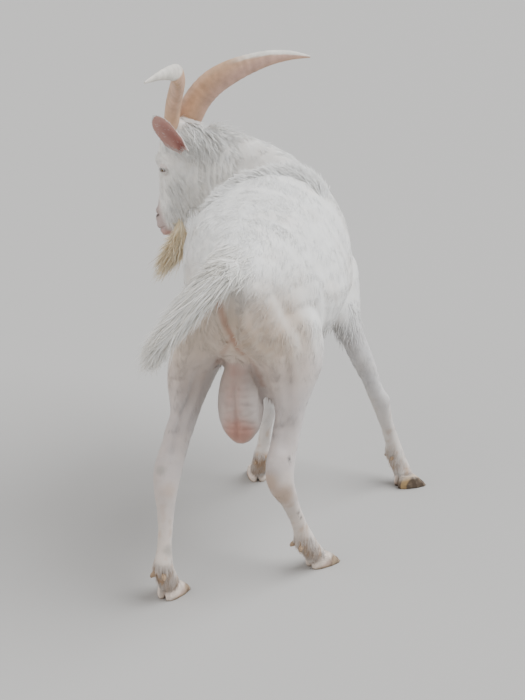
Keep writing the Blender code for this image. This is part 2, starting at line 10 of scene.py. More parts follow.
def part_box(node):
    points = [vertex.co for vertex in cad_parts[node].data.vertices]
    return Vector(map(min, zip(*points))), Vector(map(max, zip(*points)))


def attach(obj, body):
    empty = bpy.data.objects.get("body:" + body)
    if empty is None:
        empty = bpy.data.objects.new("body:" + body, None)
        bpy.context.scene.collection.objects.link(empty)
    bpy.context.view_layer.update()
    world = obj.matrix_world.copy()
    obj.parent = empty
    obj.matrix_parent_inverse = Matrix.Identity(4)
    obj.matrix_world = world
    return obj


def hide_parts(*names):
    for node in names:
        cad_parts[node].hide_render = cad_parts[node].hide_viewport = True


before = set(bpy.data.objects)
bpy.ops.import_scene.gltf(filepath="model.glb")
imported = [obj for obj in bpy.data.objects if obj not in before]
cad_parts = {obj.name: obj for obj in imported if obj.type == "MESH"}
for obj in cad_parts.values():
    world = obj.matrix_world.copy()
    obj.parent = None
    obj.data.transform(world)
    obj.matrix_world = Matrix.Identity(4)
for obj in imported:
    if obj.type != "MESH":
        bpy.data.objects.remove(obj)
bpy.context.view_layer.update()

# A white horned buck. Everything is in metres; the goat faces -Y and its left side is +X.
up = Vector((0, 0, 1))

# The head's own directions, found again from the two eyes
headPose = {
    "facing": (0.8918, -0.4524, 0.0), "lean": 0.22,
    "eyeDown": 0.127, "eyeFront": -0.013,  # the eyes, from the crown
    "drawnPoll": (0.391, -0.430, 0.945),  # where the crown was drawn before the goat was centred
}


def middleOf(node):
    low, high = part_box(node)
    return (low + high) / 2


facing = Vector(headPose["facing"])
faceDown = (facing * headPose["lean"] - up).normalized()
faceLeft = facing.cross(faceDown).normalized()
faceFront = faceDown.cross(faceLeft).normalized()
eyeMiddles = (middleOf("eye_left"), middleOf("eye_right"))
poll = (eyeMiddles[0] + eyeMiddles[1]) / 2
poll = poll - faceDown * headPose["eyeDown"] - faceFront * headPose["eyeFront"]
modelShift = poll - Vector(headPose["drawnPoll"])


def placed(point):
    # drawn places are those before the goat was centred
    return Vector(point) + modelShift


def drawn(x, y, z):
    return placed((x, y, z))


def onHead(down, front, side):
    # a place on the head, from the crown; side is out to the goat's left
    return poll + faceDown * down + faceFront * front + faceLeft * side


def headWay(down, front, side):
    return (faceDown * down + faceFront * front + faceLeft * side).normalized()


# Small tools for meshes
def pieceFrom(name, shape, materials=(), smooth=True):
    mesh = bpy.data.meshes.new(name)
    shape.to_mesh(mesh)
    shape.free()
    piece = bpy.data.objects.new(name, mesh)
    bpy.context.scene.collection.objects.link(piece)
    for material in materials:
        mesh.materials.append(material)
    if smooth:
        mesh.shade_smooth()
    return piece


def drop(*pieces):
    for piece in pieces:
        bpy.data.objects.remove(piece, do_unlink=True)


def applied(piece):
    # makes the modifiers real
    graph = bpy.context.evaluated_depsgraph_get()
    mesh = bpy.data.meshes.new_from_object(piece.evaluated_get(graph))
    piece.modifiers.clear()
    piece.data = mesh
    return piece


def smoothValues(stations, steps):
    # values on a curve through each station
    rows = []
    last = len(stations) - 1
    for i in range(last):
        p0, p3 = stations[max(i - 1, 0)], stations[min(i + 2, last)]
        p1, p2 = stations[i], stations[i + 1]
        for step in range(steps):
            t = step / steps
            rows.append([0.5 * (2 * b + (c - a) * t + (2 * a - 5 * b + 4 * c - d) * t * t
                                + (3 * b - a - 3 * c + d) * t ** 3) for a, b, c, d in zip(p0, p1, p2, p3)])
    rows.append(list(stations[last]))
    return rows


def loftRings(rings):
    # a closed tube: the first ring is extruded along the others
    shape = bmesh.new()
    ring = bmesh.ops.create_circle(shape, segments=len(rings[0]), radius=1)["verts"]
    for vertex, point in zip(ring, rings[0]):
        vertex.co = point
    edges = list(shape.edges)
    first = list(edges)
    for points in rings[1:]:
        made = bmesh.ops.extrude_edge_only(shape, edges=edges)["geom"]
        edges = [item for item in made if isinstance(item, bmesh.types.BMEdge)]
        pairs = {}
        for vertex in ring:
            for edge in vertex.link_edges:
                other = edge.other_vert(vertex)
                if other in made:
                    pairs[vertex] = other
        ring = [pairs[vertex] for vertex in ring]
        for vertex, point in zip(ring, points):
            vertex.co = point
        edges = [edge for edge in edges if edge.verts[0] in ring and edge.verts[1] in ring]
    for border in (first, edges):
        bmesh.ops.contextual_create(shape, geom=border)
    bmesh.ops.triangulate(shape, faces=[face for face in shape.faces if len(face.verts) > 4])
    shape.normal_update()
    bmesh.ops.recalc_face_normals(shape, faces=shape.faces)
    return shape


def pointsOf(mesh):
    values = np.empty(len(mesh.vertices) * 3)
    mesh.vertices.foreach_get("co", values)
    return values.reshape(-1, 3)


def setPoints(mesh, points):
    mesh.vertices.foreach_set("co", np.asarray(points, dtype=np.float64).ravel())
    mesh.update()


def normalsOf(mesh):
    values = np.empty(len(mesh.vertices) * 3)
    mesh.vertex_normals.foreach_get("vector", values)
    return values.reshape(-1, 3)


def edgesOf(mesh):
    values = np.empty(len(mesh.edges) * 2, dtype=np.int32)
    mesh.edges.foreach_get("vertices", values)
    return values.reshape(-1, 2)


def relax(values, edges, rounds, amount=0.5, back=0.0):
    # each value moves towards the mean of its neighbours, then back if asked, to keep the volume
    values = np.array(values, dtype=float)
    count = len(values)
    shares = np.bincount(edges.ravel(), minlength=count).clip(1)
    for _ in range(rounds):
        for factor in (amount, -back):
            if factor:
                sums = np.empty_like(values)
                for k in range(values.shape[1]):
                    column = values[:, k]
                    sums[:, k] = np.bincount(edges[:, 0], weights=column[edges[:, 1]], minlength=count)
                    sums[:, k] += np.bincount(edges[:, 1], weights=column[edges[:, 0]], minlength=count)
                values += factor * (sums / shares[:, None] - values)
    return values


def mottle(points, size, seed):
    # soft blotches from -1 to 1, about as large as size
    dice = np.random.default_rng(seed)
    total = np.zeros(len(points))
    for _ in range(7):
        way = dice.normal(size=3)
        way /= np.linalg.norm(way)
        pitch = 2 * math.pi / size * dice.uniform(0.6, 1.5)
        wobble = np.sin(points @ dice.normal(size=3) / size * 2.0 + dice.uniform(0, 6))
        total += np.sin(points @ way * pitch + 1.5 * wobble + dice.uniform(0, 6))
    return total / 4


def eased(value, low, high):
    share = min(1, max(0, (value - low) / (high - low)))
    return share * share * (3 - 2 * share)


def unit(vectors):
    return vectors / np.linalg.norm(vectors, axis=1, keepdims=True).clip(1e-9)


def awayFromLine(points, line):
    # distance from each point to a polyline, and how far along it the nearest place is
    best = np.full(len(points), 9.0)
    along = np.zeros(len(points))
    for i, (start, end) in enumerate(zip(line, line[1:])):
        span = end - start
        share = ((points - start) @ span / max(span @ span, 1e-12)).clip(0, 1)
        away = np.linalg.norm(points - start - share[:, None] * span, axis=1)
        closer = away < best
        best = np.where(closer, away, best)
        along = np.where(closer, (i + share) / (len(line) - 1), along)
    return best, along


# The skin
fleshNodes = ("trunk", "neck", "head", "tail", "scrotum", "hind_left_thigh", "hind_right_thigh",
              "fore_left_forearm", "fore_right_forearm", "hind_left_shank", "hind_right_shank",
              "fore_left_shank", "fore_right_shank")
skinPlan = {
    "grow": 0.0011,  # closes the thin cuts between the parts
    "nape": (0.316, -0.440, 0.900), "napeSize": (0.045, 0.038, 0.034),
    "voxel": 0.0072,
    "smoothing": (22, 0.5, 0.52),  # rounds, and how far each goes out and back
    "joinReach": 34, "joinStrength": 6, "joinSmoothing": 75,
    "lidThickness": 0.0012,
    "muzzleFrom": 0.24, "muzzleDepth": 0.0008,
    "hoofTop": 0.07, "hoofDepth": 0.0010,
    "depthSmoothing": 14,
    "faceSmoothing": (3, 0.4, 0.42),
    # how deep the skin lies under the tips of the coat
    "depths": {"trunk": 0.0060, "neck": 0.0080, "head": 0.0022, "tail": 0.0080, "scrotum": 0.0010,
               "hind_left_thigh": 0.0050, "hind_right_thigh": 0.0050, "fore_left_forearm": 0.0038,
               "fore_right_forearm": 0.0038, "hind_left_shank": 0.0020, "hind_right_shank": 0.0020,
               "fore_left_shank": 0.0020, "fore_right_shank": 0.0020},
    "earDepth": 0.001,
}
regionNames = list(fleshNodes) + ["ear_left", "ear_right"]
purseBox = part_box("scrotum")


def eyeRadius(node):
    low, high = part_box(node)
    return (high.z - low.z) / 2


def fusedBody():
    # copies of the flesh, joined, with the eye sockets filled as far as the lids
    shape = bmesh.new()
    for node in fleshNodes:
        part = bmesh.new()
        part.from_mesh(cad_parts[node].data)
        bmesh.ops.remove_doubles(part, verts=part.verts, dist=0.00002)
        part.normal_update()
        for vertex, normal in [(vertex, vertex.normal.copy()) for vertex in part.verts]:
            vertex.co += normal * skinPlan["grow"]
        mesh = bpy.data.meshes.new("part")
        part.to_mesh(mesh)
        part.free()
        shape.from_mesh(mesh)
        bpy.data.meshes.remove(mesh)
    for node in ("eye_left", "eye_right"):
        radius = eyeRadius(node) + skinPlan["lidThickness"]
        place = Matrix.Translation(middleOf(node))
        bmesh.ops.create_icosphere(shape, subdivisions=3, radius=radius, matrix=place)
    # the thick hair and muscle between the crown and the neck
    nape = Matrix.Translation(placed(skinPlan["nape"])) @ Matrix.Diagonal((*skinPlan["napeSize"], 1))
    bmesh.ops.create_icosphere(shape, subdivisions=3, radius=1, matrix=nape)
    body = pieceFrom("skin", shape)
    fuse = body.modifiers.new("fuse", "REMESH")
    fuse.mode = "VOXEL"
    fuse.voxel_size = skinPlan["voxel"]
    return applied(body)


def nearestRegion(points):
    # the part of the body that each point belongs to
    corners, faces, owners = [], [], []
    for index, node in enumerate(regionNames):
        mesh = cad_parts[node].data
        start = len(corners)
        corners.extend(vertex.co.copy() for vertex in mesh.vertices)
        for face in mesh.polygons:
            faces.append([start + k for k in face.vertices])
            owners.append(index)
    tree = BVHTree.FromPolygons(corners, faces)
    return np.array([owners[tree.find_nearest(point)[2]] for point in points])


def stroke(points, normals, line, width, height, tree):
    # one pull of a sculpting brush along a line laid on the surface
    laid = []
    for start, end in zip(line, line[1:]):
        for k in range(4):
            laid.append(Vector(start).lerp(Vector(end), k / 4))
    laid.append(Vector(line[-1]))
    laid = np.array([tree.find_nearest(point)[0] for point in laid])
    low, high = laid.min(0) - 3 * width, laid.max(0) + 3 * width
    near = np.where(((points > low) & (points < high)).all(1))[0]
    away, along = awayFromLine(points[near], laid)
    ends = np.sin(np.pi * (0.12 + 0.76 * along)) ** 0.6 if len(line) > 1 else 1.0
    points[near] += normals[near] * (height * ends * np.exp(-(away / width) ** 2))[:, None]


# Lines on the body, each with its width and its height; a negative height is a hollow.
bodyStrokes = [
    ([(0.041, 0.365, 0.809), (0.060, 0.22, 0.85), (0.084, 0.05, 0.85), (0.096, -0.08, 0.85)], 0.024, 0.003),
    ([(0.096, -0.10, 0.85), (0.088, -0.22, 0.862), (0.066, -0.30, 0.862)], 0.030, 0.004),
    ([(0.030, 0.420, 0.765), (0.032, 0.402, 0.70), (0.032, 0.380, 0.62), (0.032, 0.33, 0.56)], 0.011, -0.007),
    ([(0.052, 0.415, 0.72), (0.062, 0.385, 0.63), (0.070, 0.35, 0.56)], 0.024, 0.002),
    ([(0.010, 0.415, 0.72), (0.002, 0.385, 0.63), (-0.006, 0.35, 0.56)], 0.024, 0.002),
    # hamstring and the hollow before it, right and left hind legs
    ([(-0.012, 0.40, 0.66), (-0.050, 0.375, 0.52), (-0.058, 0.362, 0.40), (-0.052, 0.352, 0.31)],
     0.016, 0.005),
    ([(-0.130, 0.36, 0.56), (-0.115, 0.345, 0.45), (-0.098, 0.335, 0.36)], 0.013, -0.005),
    ([(-0.030, 0.30, 0.46), (-0.040, 0.315, 0.38), (-0.045, 0.325, 0.33)], 0.012, -0.005),
    ([(-0.070, 0.344, 0.719), (-0.088, 0.311, 0.659), (-0.111, 0.280, 0.597), (-0.113, 0.265, 0.52)],
     0.020, -0.0045),
    ([(-0.094, 0.288, 0.701), (-0.108, 0.248, 0.664), (-0.131, 0.220, 0.585)], 0.030, 0.0025),
    ([(-0.034, 0.386, 0.730), (-0.060, 0.359, 0.670), (-0.080, 0.330, 0.58)], 0.030, 0.002),
    # between the purse and the right thigh, then the hollow behind the withers
    ([(0.013, 0.353, 0.568), (-0.004, 0.292, 0.512), (-0.014, 0.280, 0.47), (-0.016, 0.275, 0.44)],
     0.008, -0.013),
    ([(0.075, -0.31, 0.845), (0.020, -0.29, 0.858), (-0.030, -0.285, 0.850), (-0.075, -0.26, 0.832)],
     0.042, 0.013),
    ([(0.118, 0.325, 0.515), (0.132, 0.321, 0.456), (0.155, 0.350, 0.404)], 0.014, -0.005),
    ([(0.052, 0.405, 0.708), (0.037, 0.405, 0.658), (0.025, 0.396, 0.627), (0.013, 0.353, 0.568)],
     0.007, -0.005),
    ([(0.100, 0.40, 0.66), (0.135, 0.400, 0.52), (0.160, 0.425, 0.42), (0.174, 0.450, 0.32)], 0.016, 0.005),
    ([(0.175, 0.34, 0.55), (0.185, 0.355, 0.45), (0.190, 0.385, 0.37)], 0.013, -0.005),
    ([(0.120, 0.30, 0.50), (0.140, 0.35, 0.42), (0.155, 0.385, 0.34)], 0.012, -0.005),
    # shoulder blades, ribs
    ([(0.150, -0.25, 0.83), (0.225, -0.29, 0.74), (0.215, -0.36, 0.62)], 0.030, 0.005),
    ([(-0.020, -0.25, 0.83), (-0.110, -0.29, 0.74), (-0.105, -0.36, 0.62)], 0.030, 0.005),
    ([(0.265, -0.14, 0.78), (0.275, -0.15, 0.66), (0.240, -0.15, 0.54)], 0.026, -0.005),
    ([(-0.140, -0.14, 0.78), (-0.165, -0.15, 0.66), (-0.130, -0.15, 0.54)], 0.026, -0.005),
]
for side in (1, -1):
    # hip bones, pin bones, flanks and the last ribs on each side of the back
    hip = [(0.050 + side * 0.105, 0.185, 0.815), (0.050 + side * 0.118, 0.160, 0.805)]
    pin = [(0.030 + side * 0.052, 0.405, 0.745), (0.030 + side * 0.058, 0.392, 0.730)]
    flank = [(0.052 + side * 0.17, 0.13, 0.77), (0.052 + side * 0.19, 0.07, 0.70)]
    bodyStrokes += [(hip, 0.032, 0.008), (pin, 0.026, 0.008), (flank, 0.050, -0.009)]
    for rib in range(4):
        y = 0.02 - 0.045 * rib
        line = [(0.055 + side * 0.16, y, 0.79), (0.055 + side * 0.215, y + 0.02, 0.69),
                (0.055 + side * 0.19, y + 0.005, 0.55)]
        bodyStrokes.append((line, 0.014, 0.0007))
for fold in range(7):
    # the skin folds where the neck bends
    x = 0.334 - 0.0165 * fold
    line = [(x - 0.020, -0.40, 0.88), (x - 0.004, -0.40, 0.84), (x, -0.40, 0.79), (x - 0.010, -0.40, 0.73)]
    bodyStrokes.append((line, 0.0056, 0.0085 - 0.0006 * fold))

# The same on the head: distance down the face, to the front and out to the side.
headStrokes = [
    ([(0.106, 0.020, 0.034), (0.103, -0.004, 0.050), (0.110, -0.032, 0.056)], 0.0080, 0.0030),
    ([(0.142, 0.004, 0.050), (0.146, -0.012, 0.052), (0.140, -0.032, 0.054)], 0.0050, -0.0014),
    ([(0.150, 0.010, 0.044), (0.180, 0.004, 0.040), (0.215, 0.004, 0.036)], 0.0070, 0.0018),
    ([(0.140, 0.006, 0.047), (0.165, 0.014, 0.036), (0.200, 0.018, 0.030)], 0.0040, -0.0015),
    ([(0.110, -0.055, 0.052), (0.150, -0.060, 0.050), (0.180, -0.055, 0.044)], 0.0220, 0.0040),
    ([(0.292, 0.028, 0.009), (0.284, 0.026, 0.019), (0.274, 0.016, 0.028), (0.268, 0.008, 0.031)],
     0.0034, -0.0060),
    ([(0.266, 0.024, 0.016), (0.262, 0.014, 0.028), (0.268, 0.002, 0.033)], 0.0050, 0.0022),
    ([(0.296, 0.022, 0.018), (0.288, 0.010, 0.031)], 0.0040, 0.0015),
    ([(0.326, 0.010, 0.002), (0.320, 0.004, 0.018), (0.312, -0.008, 0.028), (0.300, -0.026, 0.032)],
     0.0026, -0.0040),
    ([(0.318, 0.014, 0.004), (0.312, 0.010, 0.020), (0.302, -0.004, 0.031)], 0.0050, 0.0014),
    ([(0.324, -0.012, 0.012), (0.314, -0.026, 0.022)], 0.0060, 0.0016),
    ([(0.225, 0.034, 0.010), (0.250, 0.032, 0.010)], 0.0120, 0.0010),
]
middleStrokes = [([(0.298, 0.028, 0.0), (0.312, 0.024, 0.0), (0.324, 0.014, 0.0)], 0.0022, -0.0026)]
scrotumStrokes = [
    ([(0.034, 0.310, 0.56), (0.037, 0.334, 0.47), (0.031, 0.332, 0.40), (0.034, 0.300, 0.345)],
     0.0065, -0.0085),
]
for fold in range(9):
    # fine wrinkles across the purse
    height = 0.375 + 0.022 * fold
    lean = 0.006 * math.sin(2.3 * fold)
    line = [(0.070, 0.315, height + lean), (0.046, 0.336, height - lean),
            (0.010, 0.334, height + lean), (-0.010, 0.312, height - lean)]
    scrotumStrokes.append((line, 0.0042, -0.0024))


def sculpt(mesh, strokes):
    points = pointsOf(mesh)
    normals = normalsOf(mesh)
    faces = [list(face.vertices) for face in mesh.polygons]
    tree = BVHTree.FromPolygons([Vector(point) for point in points], faces)
    for line, width, height in strokes:
        stroke(points, normals, line, width, height, tree)
    setPoints(mesh, points)


def refine(piece, inside):
    # finer faces where inside says so
    shape = bmesh.new()
    shape.from_mesh(piece.data)
    edges = [edge for edge in shape.edges if inside(edge.verts[0].co) and inside(edge.verts[1].co)]
    bmesh.ops.subdivide_edges(shape, edges=edges, cuts=1, use_grid_fill=True)
    bmesh.ops.triangulate(shape, faces=[face for face in shape.faces if len(face.verts) > 4])
    shape.to_mesh(piece.data)
    shape.free()


def insideHead(point):
    local = point - poll
    down, front = local.dot(faceDown), local.dot(faceFront)
    return down > -0.04 and front > -0.085 - 0.1 * down and point.z > 0.55


def insideFace(point):
    local = point - poll
    down = local.dot(faceDown)
    nearEye = min((point - eye).length for eye in eyeMiddles) < 0.026
    return (nearEye or down > 0.252) and insideHead(point)


def insidePurse(point):
    low, high = purseBox
    level = low.z < point.z < high.z - 0.05
    return level and low.x < point.x < high.x and low.y < point.y < high.y


# The ears and the opening of the lids; root, way and opens are down the face, to the front and out
earPlan = {
    "left": {"root": (0.044, -0.064, 0.050), "way": (-0.69, 0.30, 0.65), "opens": (0.0, -0.40, 0.80)},
    "right": {"root": (0.066, -0.034, 0.046), "way": (0.05, 0.42, 0.90), "opens": (0.30, 0.90, -0.2)},
    "length": 0.138, "width": 0.051, "thick": 0.0028, "rings": 32, "sides": 17,
    "sunk": 0.12,  # share of the length that is inside the head
    "rootWidth": 0.46, "widest": 0.42,
    "tipFrom": 0.60, "tipBluntness": 2.8,
    "curl": (1.9, 1.1),  # at the root, and how much of it goes towards the tip
    "ridge": 0.0007, "edgeThinning": 0.55,
}


def onEar(word, name):
    # one of the ear's own places or ways, on its side of the head
    down, front, side = earPlan[word][name]
    return down, front, side * (1 if word == "left" else -1)


def earMesh(word):
    root = onHead(*onEar(word, "root"))
    along = headWay(*onEar(word, "way"))
    opening = headWay(*onEar(word, "opens"))
    across = along.cross(opening).normalized()
    opening = across.cross(along).normalized()
    tipFrom, rootWidth = earPlan["tipFrom"], earPlan["rootWidth"]
    rings = []
    for i in range(earPlan["rings"] + 1):
        share = i / earPlan["rings"]
        half = earPlan["width"] / 2 * (rootWidth + (1 - rootWidth) * eased(share, 0.0, earPlan["widest"]))
        tip = max(0, (share - tipFrom) / (1 - tipFrom)) ** earPlan["tipBluntness"]
        half *= math.sqrt(max(1 - tip, 0.015))
        curl = earPlan["curl"][0] - earPlan["curl"][1] * share
        middle = root + along * earPlan["length"] * (share - earPlan["sunk"])
        radius = half / math.sin(min(curl, math.pi / 2))
        inner, outer = [], []
        for k in range(earPlan["sides"]):
            turn = curl * (2 * k / (earPlan["sides"] - 1) - 1)
            lift = earPlan["ridge"] * math.cos(5 * turn) * math.sin(math.pi * share)
            thick = earPlan["thick"] / 2 * (1 - earPlan["edgeThinning"] * abs(turn / curl) ** 2)
            for reach, ring in ((radius - thick + lift, inner), (radius + thick, outer)):
                shelf = opening * (radius * math.cos(curl * 0.5) - math.cos(turn) * reach)
                ring.append(middle + across * math.sin(turn) * reach + shelf)
        rings.append(inner + outer[::-1])
    return loftRings(rings)


eyePlan = {
    "halfWidth": 0.0118, "halfHeight": 0.0050, "tilt": 0.20,
    "sides": 20, "corner": 1.25,  # how pointed the corners of the lids are
    "cut": (0.004, 0.034),  # where the cut through the lids starts and ends
}


def eyeFrame(hand):
    # the way out of the eye, along its opening and across it
    long = headWay(eyePlan["tilt"], 1.0, 0.12 * hand)
    out = headWay(0.05, 0.22, 1.0 * hand)
    tall = long.cross(out).normalized()
    return eyeMiddles[0 if hand > 0 else 1], tall.cross(long).normalized(), long, tall


def lidOpening(hand):
    # an almond-shaped prism that opens the lids in front of the eye
    middle, out, long, tall = eyeFrame(hand)
    rings = []
    for reach in eyePlan["cut"]:
        ring = []
        for i in range(eyePlan["sides"]):
            turn = 2 * math.pi * i / eyePlan["sides"]
            rise = math.copysign(abs(math.sin(turn)) ** eyePlan["corner"], math.sin(turn))
            level = long * eyePlan["halfWidth"] * math.cos(turn)
            ring.append(middle + out * reach + level + tall * eyePlan["halfHeight"] * rise)
        rings.append(ring)
    return pieceFrom("lid_opening", loftRings(rings))


def join(piece, other, operation):
    blade = piece.modifiers.new("join", "BOOLEAN")
    blade.operation = operation
    blade.object = other
    blade.solver = "MANIFOLD"
    applied(piece)
    drop(other)


def softenJoins(points, edges, regions):
    # the muscles run into each other where the limbs and the neck join the trunk
    groups = regions.copy()
    for leg in ("hind_left_thigh", "hind_right_thigh", "fore_left_forearm", "fore_right_forearm"):
        groups[regions == regionNames.index(leg.rsplit("_", 1)[0] + "_shank")] = regionNames.index(leg)
    for small in ("tail", "scrotum"):
        groups[regions == regionNames.index(small)] = -1
    a, b = groups[edges[:, 0]], groups[edges[:, 1]]
    seam = np.zeros(len(points))
    seam[edges[(a != b) & (a >= 0) & (b >= 0)].ravel()] = 1
    share = (relax(seam[:, None], edges, skinPlan["joinReach"]) * skinPlan["joinStrength"]).clip(0, 1)
    return points + share * (relax(points, edges, skinPlan["joinSmoothing"]) - points)


def coatDepths(points, edges, regions):
    # hardly any hair on the muzzle and above the hooves
    depths = np.array([skinPlan["depths"].get(name, skinPlan["earDepth"]) for name in regionNames])[regions]
    muzzle = isPart(regions, "head") & (headPlaces(points)[0] > skinPlan["muzzleFrom"])
    depths = np.where(muzzle, skinPlan["muzzleDepth"], depths)
    low = points[:, 2] < skinPlan["hoofTop"]
    depths = np.where(low, np.minimum(depths, skinPlan["hoofDepth"]), depths)
    return relax(depths[:, None], edges, skinPlan["depthSmoothing"])


def placedStrokes(strokes, place):
    return [([place(*point) for point in line], width, height) for line, width, height in strokes]


def liftLids(mesh):
    # the lids lie just outside the eyes
    points = pointsOf(mesh)
    for node, eye in zip(("eye_left", "eye_right"), eyeMiddles):
        reach = eyeRadius(node) + skinPlan["lidThickness"]
        local = points - np.array(eye)
        away = np.linalg.norm(local, axis=1)
        close = (away < reach) & (away > reach * 0.5)
        points[close] += local[close] * (reach / away[close] - 1)[:, None]
    setPoints(mesh, points)


def makeSkin():
    skin = fusedBody()
    mesh = skin.data
    edges = edgesOf(mesh)
    points = relax(pointsOf(mesh), edges, *skinPlan["smoothing"])
    setPoints(mesh, points)
    regions = nearestRegion(points)
    points = softenJoins(points, edges, regions)
    setPoints(mesh, points)
    depths = coatDepths(points, edges, regions)
    setPoints(mesh, points - normalsOf(mesh) * (depths + skinPlan["grow"]))
    print("skin fused", len(mesh.polygons))

    sculpt(mesh, placedStrokes(bodyStrokes, drawn))
    for inside in (insideHead, insideFace, insidePurse):
        refine(skin, inside)
    setPoints(mesh, relax(pointsOf(mesh), edgesOf(mesh), *skinPlan["faceSmoothing"]))
    lines = []
    for line, width, height in headStrokes:
        other = [(down, front, -side) for down, front, side in line]
        lines += [(line, width, height), (other, width, height)]
    lines = placedStrokes(lines + middleStrokes, onHead) + placedStrokes(scrotumStrokes, drawn)
    sculpt(mesh, lines)
    liftLids(mesh)

    for word in ("left", "right"):
        join(skin, pieceFrom(f"ear_{word}_shape", earMesh(word)), "UNION")
    for hand in (1, -1):
        join(skin, lidOpening(hand), "DIFFERENCE")
    shape = bmesh.new()
    shape.from_mesh(skin.data)
    bmesh.ops.remove_doubles(shape, verts=shape.verts, dist=0.00005)
    bmesh.ops.triangulate(shape, faces=shape.faces)
    shape.to_mesh(skin.data)
    shape.free()
    skin.data.shade_smooth()
    print("skin finished", len(skin.data.polygons))
    return skin


# Camera, floor and light
stagePlan = {
    "camera": (-0.76877, 3.06818, 1.582), "ahead": (0.2419, -0.9703), "pitch": 19.81,  # degrees down
    "lens": 68.08, "sensor": 36,
    "floor": (0.44, 0.43, 0.415), "floorSize": 40,
    "world": (0.97, 0.98, 1.0), "worldStrength": 0.54,
    # where each lamp stands, how soft and how strong it is, and its colour
    "lamps": {"key": ((-0.75, -0.25, 1.0), 1.0, 4.5, (0.96, 0.98, 1.0)),
              "side": ((1.6, 1.3, 0.9), 1.3, 1.6, (1.0, 0.97, 0.94))},
}


def makeStage():
    scene = bpy.context.scene
    camera = bpy.data.objects.new("camera", bpy.data.cameras.new("camera"))
    scene.collection.objects.link(camera)
    camera.data.sensor_fit = "VERTICAL"
    camera.data.sensor_height = stagePlan["sensor"]
    camera.data.lens = stagePlan["lens"]
    camera.location = stagePlan["camera"]
    pitch = math.radians(stagePlan["pitch"])
    x, y = stagePlan["ahead"]
    look = Vector((x * math.cos(pitch), y * math.cos(pitch), -math.sin(pitch)))
    camera.rotation_euler = look.to_track_quat("-Z", "Y").to_euler()
    scene.camera = camera

    shape = bmesh.new()
    bmesh.ops.create_grid(shape, x_segments=8, y_segments=8, size=stagePlan["floorSize"])
    floorPaint = plainMaterial("floorPaint", stagePlan["floor"], 0.8)
    floor = pieceFrom("studio_floor", shape, (floorPaint,), smooth=False)

    world = bpy.data.worlds.new("studio")
    scene.world = world
    world.use_nodes = True
    background = world.node_tree.nodes["Background"]
    background.inputs["Color"].default_value = (*stagePlan["world"], 1)
    background.inputs["Strength"].default_value = stagePlan["worldStrength"]
    for name, (place, softness, power, colour) in stagePlan["lamps"].items():
        light = bpy.data.lights.new(name, "SUN")
        light.energy = power
        light.angle = softness
        light.color = colour
        lamp = bpy.data.objects.new(name, light)
        lamp.location = Vector(place) * 4
        lamp.rotation_euler = (-Vector(place)).to_track_quat("-Z", "Y").to_euler()
        scene.collection.objects.link(lamp)


def plainMaterial(name, colour, roughness):
    material = bpy.data.materials.new(name)
    material.use_nodes = True
    shader = material.node_tree.nodes["Principled BSDF"]
    shader.inputs["Base Color"].default_value = (*colour, 1)
    shader.inputs["Roughness"].default_value = roughness
    return material


# Materials
def addNode(tree, kind, **values):
    node = tree.nodes.new(kind)
    for name, value in values.items():
        setattr(node, name, value)
    return node


def setRange(node, end, low, high):
    node.inputs[f"{end} Min"].default_value = low
    node.inputs[f"{end} Max"].default_value = high


def surfaceMaterial(name, plan):
    # the painted colour of the piece, broken up by noise, with a fine grain
    material = bpy.data.materials.new(name)
    material.use_nodes = True
    tree = material.node_tree
    shader = tree.nodes["Principled BSDF"]
    paintNode = addNode(tree, "ShaderNodeAttribute", attribute_name="coatColour")
    place = addNode(tree, "ShaderNodeTexCoord")
    blotch = addNode(tree, "ShaderNodeTexNoise")
    blotch.inputs["Scale"].default_value = plan["blotchScale"]
    blotch.inputs["Detail"].default_value = 6
    spread = addNode(tree, "ShaderNodeMapRange")
    setRange(spread, "From", 0.3, 0.7)
    setRange(spread, "To", 1 - plan["blotch"], 1 + plan["blotch"] * 0.4)
    shaded = addNode(tree, "ShaderNodeVectorMath", operation="SCALE")
    grain = addNode(tree, "ShaderNodeTexNoise")
    grain.inputs["Scale"].default_value = plan["grainScale"]
    grain.inputs["Detail"].default_value = 4
    bump = addNode(tree, "ShaderNodeBump")
    bump.inputs["Strength"].default_value = plan["bump"]
    bump.inputs["Distance"].default_value = plan["bumpDepth"]
    rough = addNode(tree, "ShaderNodeMapRange")
    setRange(rough, "To", *plan["roughness"])
    link = tree.links.new
    link(place.outputs["Object"], blotch.inputs["Vector"])
    link(place.outputs["Object"], grain.inputs["Vector"])
    link(blotch.outputs["Fac"], spread.inputs["Value"])
    link(paintNode.outputs["Color"], shaded.inputs[0])
    link(spread.outputs["Result"], shaded.inputs["Scale"])
    link(shaded.outputs["Vector"], shader.inputs["Base Color"])
    link(grain.outputs["Fac"], bump.inputs["Height"])
    link(grain.outputs["Fac"], rough.inputs["Value"])
    link(rough.outputs["Result"], shader.inputs["Roughness"])
    link(bump.outputs["Normal"], shader.inputs["Normal"])
    shader.inputs["Subsurface Radius"].default_value = (1.0, 0.9, 0.8)
    for socket, value in plan.get("sockets", {}).items():
        shader.inputs[socket].default_value = value
    return material


